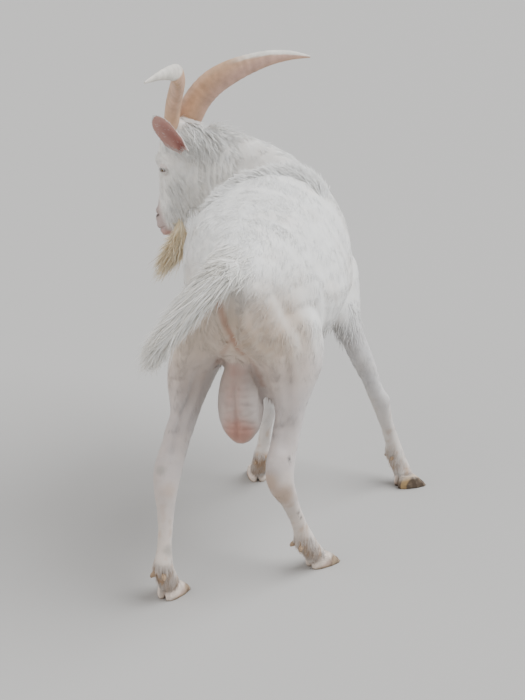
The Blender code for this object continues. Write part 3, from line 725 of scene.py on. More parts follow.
finishes = {
    "skin": {"blotchScale": 26, "blotch": 0.10, "grainScale": 900, "bump": 0.35, "bumpDepth": 0.0012,
             "roughness": (0.55, 0.75), "sockets": {"Subsurface Weight": 0.08, "Subsurface Scale": 0.01}},
    "coat": {"blotchScale": 60, "blotch": 0.10, "grainScale": 1400, "bump": 0.25, "bumpDepth": 0.0005,
             "roughness": (0.60, 0.85),
             "sockets": {"Sheen Weight": 0.12, "Subsurface Weight": 0.35, "Subsurface Scale": 0.004}},
    "horn": {"blotchScale": 45, "blotch": 0.22, "grainScale": 420, "bump": 0.45, "bumpDepth": 0.0012,
             "roughness": (0.42, 0.68)},
    "hoof": {"blotchScale": 60, "blotch": 0.28, "grainScale": 500, "bump": 0.50, "bumpDepth": 0.0010,
             "roughness": (0.40, 0.65)},
    "eye": {"blotchScale": 300, "blotch": 0.25, "grainScale": 800, "bump": 0.02, "bumpDepth": 0.0001,
            "roughness": (0.06, 0.10), "sockets": {"Coat Weight": 1.0, "Coat Roughness": 0.03}},
}
materials = {name: surfaceMaterial(f"{name}Surface", plan) for name, plan in finishes.items()}


# Markings and painted shade, the same for the skin and the coat
tints = {
    "white": (0.86, 0.85, 0.82), "warmWhite": (0.80, 0.70, 0.61), "ivory": (0.85, 0.81, 0.73),
    "cream": (0.80, 0.70, 0.52), "greyCream": (0.79, 0.755, 0.70), "straw": (0.76, 0.58, 0.32),
    "rearShadeBeige": (0.63, 0.50, 0.39), "rosy": (0.74, 0.62, 0.585), "legShadeLilac": (0.60, 0.565, 0.575),
    "tan": (0.49, 0.285, 0.145), "redBrown": (0.42, 0.21, 0.14), "grey": (0.36, 0.33, 0.29),
    "dark": (0.035, 0.028, 0.025), "salmon": (0.58, 0.30, 0.235), "purse": (0.59, 0.51, 0.47),
    "muzzle": (0.40, 0.30, 0.28), "lip": (0.55, 0.33, 0.30),
    "innerEar": (0.54, 0.27, 0.225), "earDepth": (0.33, 0.13, 0.115),
}
# reddish creases below the tail, partly the skin's own colour and partly painted shade in the crevices beside
# the purse: the line, its width and its strength
redLines = (
    (((0.052, 0.405, 0.715), (0.037, 0.405, 0.658), (0.025, 0.396, 0.627), (0.013, 0.353, 0.568)),
     0.012, 0.65),
    (((0.013, 0.353, 0.568), (-0.007, 0.283, 0.51), (-0.016, 0.277, 0.478)), 0.010, 0.4),
    (((0.025, 0.396, 0.627), (0.046, 0.375, 0.592), (0.089, 0.274, 0.524)), 0.010, 0.4),
)
# small marks on the legs: tint, place, size and strength
patches = (
    ("dark", (-0.087, 0.297, 0.309), 0.0075, 0.85), ("dark", (-0.108, 0.289, 0.172), 0.0070, 0.8),
    ("dark", (-0.114, 0.283, 0.154), 0.0060, 0.8), ("tan", (0.092, -0.156, 0.083), 0.030, 0.7),
    ("tan", (-0.078, 0.325, 0.224), 0.045, 0.5), ("grey", (0.154, 0.470, 0.130), 0.020, 0.6),
    ("grey", (0.187, 0.418, 0.304), 0.017, 0.6), ("tan", (-0.044, 0.332, 0.262), 0.035, 0.5),
    ("tan", (0.175, 0.415, 0.255), 0.030, 0.35), ("grey", (0.120, 0.005, 0.40), 0.010, 0.3),
)
# how strongly each marking and each painted shade shows, and below which height those of the legs begin
markAndShadePlan = {
    "blotchSize": 0.11, "fineSize": 0.03,
    "rear": 0.85, "rearTop": 0.80, "seat": 0.30, "thigh": 0.45, "thighTop": 0.60,
    "leg": 0.50, "legMottle": 0.10, "legTop": 0.53, "blotch": 0.22, "head": 0.40, "headMottle": 0.30,
    "tail": 0.4, "backSpot": 0.4, "pasternTop": 0.34, "pastern": 0.55, "pasternStain": 0.45,
    "hoofTop": 0.12, "hoofStain": 0.60, "purse": 0.75, "purseMottle": 0.2, "purseTop": 0.62,
    "purseTip": 0.9, "purseMiddle": 0.42, "middleMottle": 0.12, "dewclaw": 0.65,
    "paintedLegShade": 0.17, "paintedShadeTop": 0.61,
}
dewclawMiddles = [middleOf(node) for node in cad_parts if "dewclaw" in node]


def soft(values, low, high):
    share = ((values - low) / (high - low)).clip(0, 1)
    return share * share * (3 - 2 * share)


def below(heights, top, fade):
    # 0 above the top, and 1 from the fade's depth below it
    return soft(top - heights, 0.0, fade)


def creaseShare(points, line, width):
    # nearness to a crease on the rear of the body, seen along its length
    flat = np.array((1.0, 0.25, 1.0))
    away, _ = awayFromLine(points * flat, np.array([placed(point) for point in line]) * flat)
    return soft(-away, -width, -width * 0.3) * (points[:, 1] > drawn(0, 0.22, 0).y)


def blendTint(colours, name, share):
    colours += (np.array(tints[name]) - colours) * share[:, None]


def isPart(regions, *names):
    return np.isin(regions, [regionNames.index(name) for name in names])


def headPlaces(points):
    local = points - np.array(poll)
    return local @ np.array(faceDown), local @ np.array(faceFront), local @ np.array(faceLeft)


def near(points, place, radius):
    return soft(-np.linalg.norm(points - np.array(placed(place)), axis=1), -radius, -radius * 0.3)


def markingsAndShade(points, normals, regions):
    colours = np.tile(np.array(tints["white"]), (len(points), 1))
    plan = markAndShadePlan
    blotch = mottle(points, plan["blotchSize"], 3)
    fine = mottle(points, plan["fineSize"], 4)
    speckle = fine.clip(-1, 1)
    y, z, backwards = points[:, 1], points[:, 2], normals[:, 1]

    # buttocks, thighs and legs; the beige on the side that faces back is painted shade
    rear = soft(backwards, -0.05, 0.65) * soft(y, 0.10, 0.34)
    blendTint(colours, "rearShadeBeige", plan["rear"] * rear * below(z, plan["rearTop"], 0.14))
    seat = near(points, (-0.03, 0.36, 0.62), 0.13) * soft(backwards, 0.1, 0.6) * soft(fine, -0.8, 0.8)
    blendTint(colours, "tan", plan["seat"] * seat)
    thigh = below(z, plan["thighTop"], 0.10) * soft(z, 0.10, 0.25) * soft(y, 0.05, 0.15)
    blendTint(colours, "rosy", plan["thigh"] * thigh)
    # the lilac on the lower legs is painted shade under the body
    leg = below(z, plan["legTop"], 0.12) * soft(y + 0.55, 0.0, 0.3)
    blendTint(colours, "legShadeLilac", (plan["leg"] + plan["legMottle"] * speckle) * leg)

    # body, neck and tail
    blendTint(colours, "warmWhite", plan["blotch"] * soft(blotch, 0.0, 1.0))
    share = plan["head"] + plan["headMottle"] * speckle
    blendTint(colours, "greyCream", isPart(regions, "neck", "head") * share)
    blendTint(colours, "ivory", isPart(regions, "tail") * plan["tail"])
    spot = near(points, (0.045, -0.004, 0.844), 0.075) * soft(fine, -0.4, 0.7)
    blendTint(colours, "grey", spot * plan["backSpot"])

    # pasterns, stained towards the hooves
    pastern = below(z, plan["pasternTop"], 0.24)
    blendTint(colours, "warmWhite", plan["pastern"] * pastern)
    blendTint(colours, "tan", pastern * soft(fine, 0.25, 1.1) * plan["pasternStain"])
    stain = below(z, plan["hoofTop"], 0.06) * soft(fine + 0.3 * blotch, -0.5, 0.7)
    blendTint(colours, "tan", stain * plan["hoofStain"])

    # purse
    purse = isPart(regions, "scrotum")
    share = plan["purse"] + plan["purseMottle"] * speckle
    blendTint(colours, "purse", purse * below(z, plan["purseTop"], 0.06) * share)
    blendTint(colours, "salmon", near(points, (0.028, 0.317, 0.368), 0.058) * purse * plan["purseTip"])
    middle = soft(-np.abs(points[:, 0] - drawn(0.040, 0, 0).x), -0.046, -0.002) * soft(backwards, 0.2, 0.8)
    blendTint(colours, "salmon", middle * purse * (plan["purseMiddle"] + plan["middleMottle"] * speckle))

    # creases, partly painted shade, and small marks
    for line, width, share in redLines:
        blendTint(colours, "redBrown", creaseShare(points, line, width) * soft(backwards, -0.3, 0.2) * share)
    for dewclaw in dewclawMiddles:
        away = np.linalg.norm(points - np.array(dewclaw), axis=1)
        blendTint(colours, "tan", soft(-away, -0.034, -0.012) * soft(fine, -1.0, 0.3) * plan["dewclaw"])
    for tint, place, size, share in patches:
        blendTint(colours, tint, near(points, place, size) * share)
    # the legs and the purse are darkened below this height as painted shade under the body
    return colours * (1 - plan["paintedLegShade"] * below(z, plan["paintedShadeTop"], 0.14))[:, None]


def roundEye(points, inner, outer):
    # 1 inside an oval round the opening of the lids, 0 outside a larger one
    share = np.zeros(len(points))
    for hand in (1, -1):
        middle, out, long, tall = eyeFrame(hand)
        local = points - np.array(middle)
        level = local @ np.array(long) / eyePlan["halfWidth"]
        rise = local @ np.array(tall) / eyePlan["halfHeight"]
        outFront = (local @ np.array(out) > 0) * (np.linalg.norm(local, axis=1) < 0.03)
        share = np.maximum(share, soft(-np.hypot(level, rise), -outer, -inner) * outFront)
    return share


def insideEar(points, normals, regions):
    share = np.zeros(len(points))
    for word in ("left", "right"):
        opening = np.array(headWay(*onEar(word, "opens")))
        share = np.maximum(share, isPart(regions, f"ear_{word}") * soft(normals @ opening, 0.05, 0.45))
    return share


def noseShare(points, regions):
    # the bare muzzle starts higher in front than below
    down, front, _ = headPlaces(points)
    return isPart(regions, "head") * soft(down + 1.1 * front, 0.230, 0.274) * soft(down, 0.206, 0.242)


def bareness(points, regions):
    # 1 where the skin shows with hardly any hair: the muzzle and the lids
    share = noseShare(points, regions)
    for eye in eyeMiddles:
        share = np.maximum(share, soft(-np.linalg.norm(points - np.array(eye), axis=1), -0.0205, -0.0165))
    return share


def paint(mesh, colours):
    layer = mesh.color_attributes.new("coatColour", "FLOAT_COLOR", "POINT")
    values = np.column_stack([colours, np.ones(len(colours))]).astype(np.float32)
    layer.data.foreach_set("color", values.ravel())


# The lie of the coat. The tail's line also has half its width and half its depth at each place.
neckLine = ((0.310, -0.480, 0.805), (0.240, -0.515, 0.785), (0.160, -0.505, 0.755),
            (0.095, -0.440, 0.718), (0.060, -0.350, 0.685))
tailLine = ((0.024, 0.360, 0.775, 0.030, 0.030), (0.034, 0.410, 0.780, 0.036, 0.030),
            (0.072, 0.452, 0.748, 0.048, 0.028), (0.118, 0.478, 0.690, 0.050, 0.024),
            (0.155, 0.490, 0.640, 0.044, 0.020), (0.187, 0.498, 0.590, 0.016, 0.010))
liePlan = {"legs": (0.0, 0.1, -1.0), "trunk": (0.0, 1.0, -0.60), "neckFall": (0, 0.1, -0.65), "neckPull": 0.8,
           "headFall": (0, 0, -0.55), "headPull": 0.9, "smoothing": 25}


def alongLine(points, line):
    # the direction of the nearest stretch of a line
    ways = np.zeros_like(points)
    best = np.full(len(points), 9.0)
    for start, end in zip(line, line[1:]):
        start, end = np.array(start), np.array(end)
        away, _ = awayFromLine(points, [start, end])
        closer = away < best
        ways[closer] = (end - start) / np.linalg.norm(end - start)
        best[closer] = away[closer]
    return ways


def lieOfCoat(points, normals, regions, edges):
    # the way that the hair points, everywhere on the skin
    ways = np.tile(liePlan["legs"], (len(points), 1))
    ways[isPart(regions, "trunk")] = liePlan["trunk"]
    neck = isPart(regions, "neck")
    along = alongLine(points[neck], [placed(point) for point in neckLine])
    ways[neck] = liePlan["neckPull"] * along + np.array(liePlan["neckFall"])
    head = isPart(regions, "head")
    ways[head] = -liePlan["headPull"] * np.array(faceFront) + np.array(liePlan["headFall"])
    tail = isPart(regions, "tail")
    ways[tail] = alongLine(points[tail], [placed(point[:3]) for point in tailLine])
    for word in ("left", "right"):
        ways[isPart(regions, f"ear_{word}")] = headWay(*onEar(word, "way"))
    ways = relax(ways, edges, liePlan["smoothing"])
    ways -= normals * (ways * normals).sum(1)[:, None]
    return unit(relax(unit(ways), edges, 4))


# Tufts and locks
lockShape = {
    "stations": (0, 0.25, 0.7, 1), "swell": (0.75, 1.0, 0.72, 0.3),  # the width along a lock
    # each lock's random tone, and its root painted darker than its tip as painted shade under the coat
    "shade": 0.035, "paintedRootShade": 0.95, "tipShade": 0.07,
    "patch": 0.003,  # size of a lock on its flat map
}


def lockPattern(levels):
    # one three-sided lock along Z with a ring at each level and a point at its tip
    shape = bmesh.new()
    ring = bmesh.ops.create_circle(shape, cap_ends=True, segments=3, radius=1)["verts"]
    edges = list(shape.edges)
    for _ in range(levels):
        made = bmesh.ops.extrude_edge_only(shape, edges=edges)["geom"]
        ring = [item for item in made if isinstance(item, bmesh.types.BMVert)]
        edges = [item for item in made if isinstance(item, bmesh.types.BMEdge)
                 and item.verts[0] in ring and item.verts[1] in ring]
        bmesh.ops.translate(shape, verts=ring, vec=(0, 0, 1 / levels))
    bmesh.ops.pointmerge(shape, verts=ring, merge_co=(0, 0, 1))
    bmesh.ops.recalc_face_normals(shape, faces=shape.faces)
    bmesh.ops.triangulate(shape, faces=shape.faces)
    shape.verts.index_update()
    points = np.array([vertex.co[:] for vertex in shape.verts])
    faces = np.array([[vertex.index for vertex in face.verts] for face in shape.faces])
    shape.free()
    return points, faces


def growLocks(name, paths, sides, ups, widths, thickness, colours, places, tips=None, seed=1, softness=0.45):
    # every lock is the same pattern bent along its own path; they are joined in one mesh
    count, levels = paths.shape[0], paths.shape[1] - 1
    pattern, faces = lockPattern(levels)
    along = pattern[:, 2]
    level = np.rint(along * levels).astype(int)
    swell = np.interp(along, lockShape["stations"], lockShape["swell"])
    wide = (pattern[:, 0] * swell)[None, :, None] * widths[:, None, None] / 2
    deep = (pattern[:, 1] * swell)[None, :, None] * (widths * thickness)[:, None, None] / 2
    points = paths[:, level, :] + sides[:, None, :] * wide + ups[:, None, :] * deep
    dice = np.random.default_rng(seed)
    shade = dice.normal(1.0, lockShape["shade"], count).clip(0.88, 1.1)[:, None]
    # the root is painted darker than the tip, as painted shade under the coat
    shade = shade * (lockShape["paintedRootShade"] + lockShape["tipShade"] * along)[None, :]
    painted = colours[:, None, :] * shade[:, :, None]
    if tips is not None:
        painted = painted + (tips[:, None, :] - painted) * (along ** 1.5)[None, :, None]

    corners = (faces[None] + (np.arange(count) * len(pattern))[:, None, None]).reshape(-1)
    mesh = bpy.data.meshes.new(name)
    mesh.vertices.add(count * len(pattern))
    mesh.loops.add(len(corners))
    mesh.polygons.add(len(corners) // 3)
    mesh.loops.foreach_set("vertex_index", corners.astype(np.int32))
    mesh.polygons.foreach_set("loop_start", np.arange(0, len(corners), 3, dtype=np.int32))
    setPoints(mesh, points.reshape(-1, 3))
    mesh.validate()
    mesh.shade_smooth()

    # the locks take the light as the soft surface that they make together
    bulge = sides[:, None, :] * pattern[None, :, 0:1] + ups[:, None, :] * pattern[None, :, 1:2]
    run = unit(np.gradient(paths, axis=1).reshape(-1, 3)).reshape(paths.shape)[:, level, :]
    lifted = ups[:, None, :] - run * (ups[:, None, :] * run).sum(2, keepdims=True)
    lifted = unit(lifted.reshape(-1, 3)).reshape(lifted.shape)
    turned = unit((lifted + softness * bulge).reshape(-1, 3)).reshape(lifted.shape)[:, faces]
    a, b, c = (points[:, faces[:, k]] for k in range(3))
    flat = unit(np.cross(b - a, c - a).reshape(-1, 3)).reshape(count, len(faces), 3)
    under = (flat * lifted[:, faces[:, 0]]).sum(2) < -0.1
    turned[under] = flat[under][:, None, :]
    mesh.normals_split_custom_set(turned.reshape(-1, 3).tolist())
    paint(mesh, painted.reshape(-1, 3).clip(0, 1))

    # the flat map: each lock is one small patch at its root's place
    spread = np.column_stack([pattern[:, 0] * 0.5, along - 0.5]) * lockShape["patch"]
    unrolled = places[:, None, :] + spread[None]
    layer = mesh.uv_layers.new(name="OFBake")
    layer.data.foreach_set("uv", unrolled.reshape(-1, 2)[corners].astype(np.float32).ravel())
    piece = bpy.data.objects.new(name, mesh)
    bpy.context.scene.collection.objects.link(piece)
    mesh.materials.append(materials["coat"])
    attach(piece, "root")
    print(name, count, "locks", len(corners) // 3, "triangles")
    return piece


def flatPlaces(points, regions):
    # each part of the body is unrolled round its own long axis, in a cell of its own
    used = np.unique(regions)
    cells = math.ceil(math.sqrt(len(used)))
    places = np.zeros((len(points), 2))
    for index, region in enumerate(used):
        mine = regions == region
        shape = pointsOf(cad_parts[regionNames[region]].data)
        middle = shape.mean(0)
        axes = np.linalg.svd(shape - middle, full_matrices=False)[2]
        local = (points[mine] - middle) @ axes.T
        reach = np.abs((shape - middle) @ axes[0]).max() * 1.15
        turn = np.arctan2(local[:, 2], local[:, 1]) / (2 * math.pi) + 0.5
        along = (local[:, 0] / reach / 2 + 0.5).clip(0, 1)
        corner = np.array([index % cells, index // cells])
        places[mine] = (corner + 0.03 + 0.94 * np.column_stack([turn, along])) / cells
    return places


class Ground:
    # what the tufts need to know of the skin that they grow from
    def __init__(self, skin):
        mesh = skin.data
        mesh.calc_loop_triangles()
        corners = np.empty(len(mesh.loop_triangles) * 3, dtype=np.int32)
        mesh.loop_triangles.foreach_get("vertices", corners)
        self.corners = corners.reshape(-1, 3)
        self.points = pointsOf(mesh)
        self.normals = normalsOf(mesh)
        self.edges = edgesOf(mesh)
        self.regions = nearestRegion(self.points)
        self.lies = lieOfCoat(self.points, self.normals, self.regions, self.edges)
        self.colours = markingsAndShade(self.points, self.normals, self.regions)
        self.bare = bareness(self.points, self.regions)
        a, b, c = (self.points[self.corners[:, k]] for k in range(3))
        self.areas = np.linalg.norm(np.cross(b - a, c - a), axis=1) / 2

    def sow(self, count, weights, seed):
        # evenly spread roots, thicker where the weights are higher
        dice = np.random.default_rng(seed)
        chance = np.cumsum(self.areas * weights[self.corners].mean(1))
        spots = (np.arange(count) + dice.uniform(0, 1, count)) / count * chance[-1]
        face = self.corners[np.searchsorted(chance, spots).clip(0, len(chance) - 1)]
        shares = dice.dirichlet((1, 1, 1), count)
        layers = (self.points, self.normals, self.lies, self.colours)
        roots, normals, lies, colours = ((values[face] * shares[:, :, None]).sum(1) for values in layers)
        return roots, unit(normals), unit(lies), colours, self.regions[face[:, 0]]


# what a kind of tuft has unless its own plan says otherwise
tuftDefaults = {
    "levels": 2, "clump": 0.03, "swirl": 0.25, "bend": 0.12, "wave": 0.0, "waves": 1.2, "fall": 0.45,
    "drop": 0.0, "pull": 0.0, "way": (0, 0, -1), "thickness": 0.30, "tint": "white", "tintShare": 0.0,
    "rootDepth": 0.0008, "spread": 0.3,
}


def growTufts(ground, name, plan, weights):
    plan = {**tuftDefaults, **plan}
    roots, normals, ways, colours, regions = ground.sow(plan["count"], weights, plan["seed"])
    dice = np.random.default_rng(plan["seed"] + 100)
    count = len(roots)
    if plan["pull"]:
        ways = ways * (1 - plan["pull"]) + np.array(plan["way"]) * plan["pull"]
        ways = unit(ways - normals * (ways * normals).sum(1, keepdims=True))
    sides = unit(np.cross(normals, ways))
    blot = mottle(roots, plan["clump"], plan["seed"] + 7)
    turn = dice.normal(0, plan["stray"], count) + plan["swirl"] * blot
    ways, sides = (ways * np.cos(turn)[:, None] + sides * np.sin(turn)[:, None],
                   sides * np.cos(turn)[:, None] - ways * np.sin(turn)[:, None])
    lengths = plan["length"] * dice.uniform(1 - plan["spread"], 1 + plan["spread"], count)
    widths = plan["width"] * dice.uniform(1 - plan["spread"], 1 + plan["spread"], count)
    stands = plan["stand"] * dice.uniform(0.4, 1.6, count) * (1 + 0.5 * blot)
    along = np.linspace(0, 1, plan["levels"] + 1)[None, :, None]
    bend = dice.normal(0, plan["bend"], count)[:, None, None]
    phase = dice.uniform(0, 1, count)[:, None, None]
    wave = plan["wave"] * np.sin(2 * math.pi * (along * plan["waves"] + phase))
    size = lengths[:, None, None]
    paths = roots[:, None, :] - normals[:, None, :] * plan["rootDepth"]
    paths = paths + ways[:, None, :] * size * along * (1 - 0.1 * along)
    paths = paths + normals[:, None, :] * size * stands[:, None, None] * (along - plan["fall"] * along ** 2)
    paths = paths + sides[:, None, :] * size * (bend * along ** 2 + wave * along)
    paths[:, :, 2] -= plan["drop"] * (size * along ** 2)[:, :, 0]
    blendTint(colours, plan["tint"], np.full(count, plan["tintShare"]))
    growLocks(name, paths, sides, normals, widths, plan["thickness"], colours,
              flatPlaces(roots, regions), seed=plan["seed"])


# Horns. Each place: up, back, out, half the width and half the depth.
hornPlan = {
    "line": ((-0.030, -0.006, 0.027, 0.0190, 0.0350), (0.002, -0.001, 0.033, 0.0210, 0.0365),
             (0.058, 0.010, 0.047, 0.0210, 0.0370), (0.108, 0.033, 0.068, 0.0200, 0.0365),
             (0.147, 0.064, 0.099, 0.0180, 0.0330), (0.177, 0.096, 0.141, 0.0150, 0.0270),
             (0.197, 0.123, 0.193, 0.0115, 0.0200), (0.203, 0.143, 0.254, 0.0080, 0.0125),
             (0.197, 0.157, 0.319, 0.0020, 0.0030)),
    "steps": 26, "sides": 40, "ridges": 26, "ridgeHeight": 0.0008,
    "keel": 0.16, "groove": 0.035, "grooveAt": 0.35, "grooveWidth": 0.18,
    "rose": (0.58, 0.365, 0.29), "amber": (0.60, 0.37, 0.23), "cream": (0.60, 0.46, 0.33),
    "blade": (0.76, 0.72, 0.65), "ridgeShade": 90, "streak": 0.05, "speckle": 0.03,
}


def hornColour(share, front, turn, ripple, lit, speckle):
    # rose to amber, with a pale blade along the outer half; lit is 1 on the horn that faces the light
    edge = 0.56 - 0.45 * eased(share, 0.60, 1.0) - 1.7 * lit * eased(share, 0.56, 0.78)
    blade = eased(front, edge - 0.10 * lit, edge + 0.12 + 0.20 * lit) * eased(share, 0.50, 0.66)
    strip = (0.15 + 0.30 * lit) * eased(front, 0.55, 0.85) * (1 - blade)
    streak = hornPlan["streak"] * math.sin(7 * turn + 3 * math.sin(17 * share))
    streak += hornPlan["speckle"] * speckle
    amber = 0.5 + 0.5 * math.sin(5 * share - 2 * front + 0.8)
    colour = Vector(hornPlan["rose"]).lerp(Vector(hornPlan["amber"]), min(1, amber + 0.6 * lit))
    colour = colour.lerp(Vector(hornPlan["cream"]), min(1, max(0, strip + streak)))
    shade = 1 + hornPlan["ridgeShade"] * ripple * (1 - 0.7 * blade)
    return colour.lerp(Vector(hornPlan["blade"]), blade) * shade


def makeHorn(word):
    hand = 1 if word == "left" else -1
    rows = smoothValues(hornPlan["line"], hornPlan["steps"])
    middles = [onHead(-row[0], -row[1], hand * row[2]) for row in rows]
    brow = headWay(0, 0.75, -0.65 * hand)
    dice = np.random.default_rng(20 + hand)
    rings, colours = [], []
    count = len(rows)
    for i, row in enumerate(rows):
        share = i / (count - 1)
        along = (middles[min(i + 1, count - 1)] - middles[max(i - 1, 0)]).normalized()
        keel = brow.lerp(-faceDown, share)
        across = along.cross(keel).normalized()
        keel = across.cross(along).normalized()
        ripple = math.sin(2 * math.pi * hornPlan["ridges"] * share ** 0.8 + 1.3 * math.sin(9 * share))
        ripple = (abs(ripple) ** 0.7 * math.copysign(1, ripple) * 0.5 - 0.5) * hornPlan["ridgeHeight"]
        ripple *= min(1, (1 - share) * 3) * (0.6 + 0.4 * math.sin(23 * share))
        ring = []
        for k in range(hornPlan["sides"]):
            turn = 2 * math.pi * k / hornPlan["sides"]
            front = math.sin(turn)
            # a blunt keel in front, a rounded back and a shallow groove on each side
            wide = row[3] * (1 - hornPlan["keel"] * max(front, 0) ** 2) + ripple * (1.2 - 0.6 * abs(front))
            deep = row[4] + ripple
            dip = math.exp(-((front - hornPlan["grooveAt"]) / hornPlan["grooveWidth"]) ** 2)
            groove = 1 - hornPlan["groove"] * dip * min(1, (1 - share) * 2)
            ring.append(middles[i] + across * wide * groove * math.cos(turn) + keel * deep * front)
            colours.append(hornColour(share, front, turn, ripple, hand > 0, dice.normal()))
        rings.append(ring)
    horn = pieceFrom(f"{word}_horn_sheath", loftRings(rings), (materials["horn"],))
    paint(horn.data, np.array(colours))
    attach(horn, "root")
    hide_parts(f"horn_{word}")


# Hooves
legNames = ("hind_left", "hind_right", "fore_left", "fore_right")
clawPlan = {
    "voxel": 0.0016, "dewclawVoxel": 0.0011, "dewclawSize": 0.80, "dewclawSunk": 0.16,
    "wear": 0.0003, "growth": 0.0004, "growthPitch": 1500,  # rings round the wall
    "hornColour": (0.36, 0.26, 0.17), "stain": (0.16, 0.10, 0.06), "heel": (0.70, 0.52, 0.43),
    "dewclaw": (0.42, 0.28, 0.17), "stripe": (0.55, 0.36, 0.16),
    "muddy": "fore_right", "mudShade": 0.5,  # the leg with the darker claws
}


def tintTo(colours, tint, share):
    colours += (np.array(tint) - colours) * share[:, None]


def fetlockOf(leg):
    # the middle between the two claws, the back of the fetlock and the way to it
    centre = sum((middleOf(f"{leg}_claw_{side}") for side in ("left", "right")), Vector()) / 2
    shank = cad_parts[f"{leg}_shank"].data
    top = max((vertex.co for vertex in shank.vertices if vertex.co.z < 0.11), key=lambda co: co.z)
    back = np.array((top - centre).to_2d())
    return centre, top, back / max(np.linalg.norm(back), 1e-6)


def makeClaw(node):
    # the solid of the claw, made finer, with growth rings round its wall
    dewclaw = "dewclaw" in node
    shape = bmesh.new()
    shape.from_mesh(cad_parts[node].data)
    bmesh.ops.remove_doubles(shape, verts=shape.verts, dist=0.00005)
    low = min(vertex.co.z for vertex in shape.verts)
    claw = pieceFrom(f"{node}_wall", shape, (materials["hoof"],))
    finer = claw.modifiers.new("finer", "REMESH")
    finer.mode = "VOXEL"
    finer.voxel_size = clawPlan["dewclawVoxel"] if dewclaw else clawPlan["voxel"]
    applied(claw)
    mesh = claw.data
    points = pointsOf(mesh)
    smooth = relax(points, edgesOf(mesh), 4, 0.5, 0.5)
    if dewclaw:
        points = smooth
    else:
        points = points + (smooth - points) * soft(points[:, 2], low + 0.0008, low + 0.004)[:, None]
    setPoints(mesh, points)

    height = points[:, 2] - low
    rings = np.sin(height * clawPlan["growthPitch"] + 6 * mottle(points, 0.05, 8))
    rings = rings * soft(height, 0.002, 0.006)
    worn = (clawPlan["wear"] + clawPlan["growth"] * (0.5 - 0.5 * rings)) * (height > 0.0008)
    setPoints(mesh, points - normalsOf(mesh) * worn[:, None])
    leg = node.split("_claw")[0].split("_dewclaw")[0]
    centre, top, back = fetlockOf(leg)
    muddy = leg == clawPlan["muddy"]
    colours = np.tile(np.array(clawPlan["hornColour"]), (len(points), 1))
    tintTo(colours, clawPlan["stain"], 0.8 * soft(mottle(points, 0.022, 5) + 0.5 * muddy, -0.2, 0.9))
    colours *= (1 + 0.12 * rings)[:, None]
    if dewclaw:
        # set a little into the hair, towards the leg
        middle = points.mean(0)
        inward = np.array((top.x, top.y, middle[2] + 0.002)) - middle
        local = pointsOf(mesh) - middle
        setPoints(mesh, middle + local * clawPlan["dewclawSize"] + inward * clawPlan["dewclawSunk"])
        tintTo(colours, clawPlan["dewclaw"], np.full(len(points), 0.6))
    else:
        behind = (points[:, :2] - np.array(centre)[:2]) @ back
        heel = soft(behind, -0.016, 0.004) * soft(height, 0.003, 0.010)
        upper = soft(height + 0.5 * behind, 0.012, 0.026)
        if muddy:
            heel = heel * soft(behind, 0.004, 0.016)
            upper = upper * 0.6
            colours *= clawPlan["mudShade"]
            stripe = soft(-np.abs(behind + 0.016 + 0.1 * height), -0.006, -0.003)
            tintTo(colours, clawPlan["stripe"], 0.8 * stripe)
        tintTo(colours, clawPlan["heel"], heel * 0.9)
        tintTo(colours, tints["warmWhite"], upper * 0.8)
        colours *= (0.55 + 0.45 * soft(height, 0.0, 0.006))[:, None]
    paint(mesh, colours.clip(0.01, 1))
    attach(claw, "root")
    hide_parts(node)


# Eyes, with the level pupil of a goat; the sizes are shares of the eye's radius
eyeballPlan = {
    "gap": 0.0002, "bulge": 0.06, "irisEdge": 0.63, "pupilLength": 0.22, "pupilEdge": (0.12, 0.16),
    "rays": 42, "rayDepth": 0.25,
    "iris": (0.16, 0.085, 0.03), "rim": (0.02, 0.013, 0.01), "pupil": (0.005, 0.005, 0.006),
    "white": (0.10, 0.06, 0.045),
}


def makeEye(word):
    plan = eyeballPlan
    hand = 1 if word == "left" else -1
    middle = middleOf(f"eye_{word}")
    radius = eyeRadius(f"eye_{word}") - plan["gap"]
    out = headWay(0.0, 0.30, 1.0 * hand)
    long = headWay(eyePlan["tilt"], 1.0, 0.0)
    long = (long - out * long.dot(out)).normalized()
    tall = out.cross(long)
    shape = bmesh.new()
    bmesh.ops.create_icosphere(shape, subdivisions=6, radius=radius, matrix=Matrix.Translation(middle))
    eye = pieceFrom(f"{word}_eyeball", shape, (materials["eye"],))
    points = pointsOf(eye.data)
    local = (points - np.array(middle)) / radius
    ahead, level, rise = local @ np.array(out), local @ np.array(long), local @ np.array(tall)
    away = np.hypot(level, rise)
    front = ahead > 0
    cornea = plan["bulge"] * soft(-away, -0.62, -0.25) * front
    setPoints(eye.data, points + np.array(out) * (cornea * radius)[:, None])

    colours = np.tile(np.array(plan["white"]), (len(points), 1))
    edge = plan["irisEdge"]
    iris = soft(-away, -edge - 0.03, -edge + 0.03) * front
    tintTo(colours, plan["iris"], iris)
    rays = np.sin(np.arctan2(rise, level) * plan["rays"] + 3 * np.sin(away * 20))
    rays = 1 - plan["rayDepth"] + plan["rayDepth"] * rays
    colours *= np.where(iris > 0.5, rays, 1)[:, None]
    tintTo(colours, plan["rim"], soft(-np.abs(away - edge), -0.09, -0.02) * front * 0.85)
    slot = np.hypot((np.abs(level) - plan["pupilLength"]).clip(0), rise * 1.05)
    inner, outer = plan["pupilEdge"]
    tintTo(colours, plan["pupil"], soft(-slot, -outer, -inner) * front)
    paint(eye.data, colours.clip(0, 1))
    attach(eye, "root")
    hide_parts(f"eye_{word}")


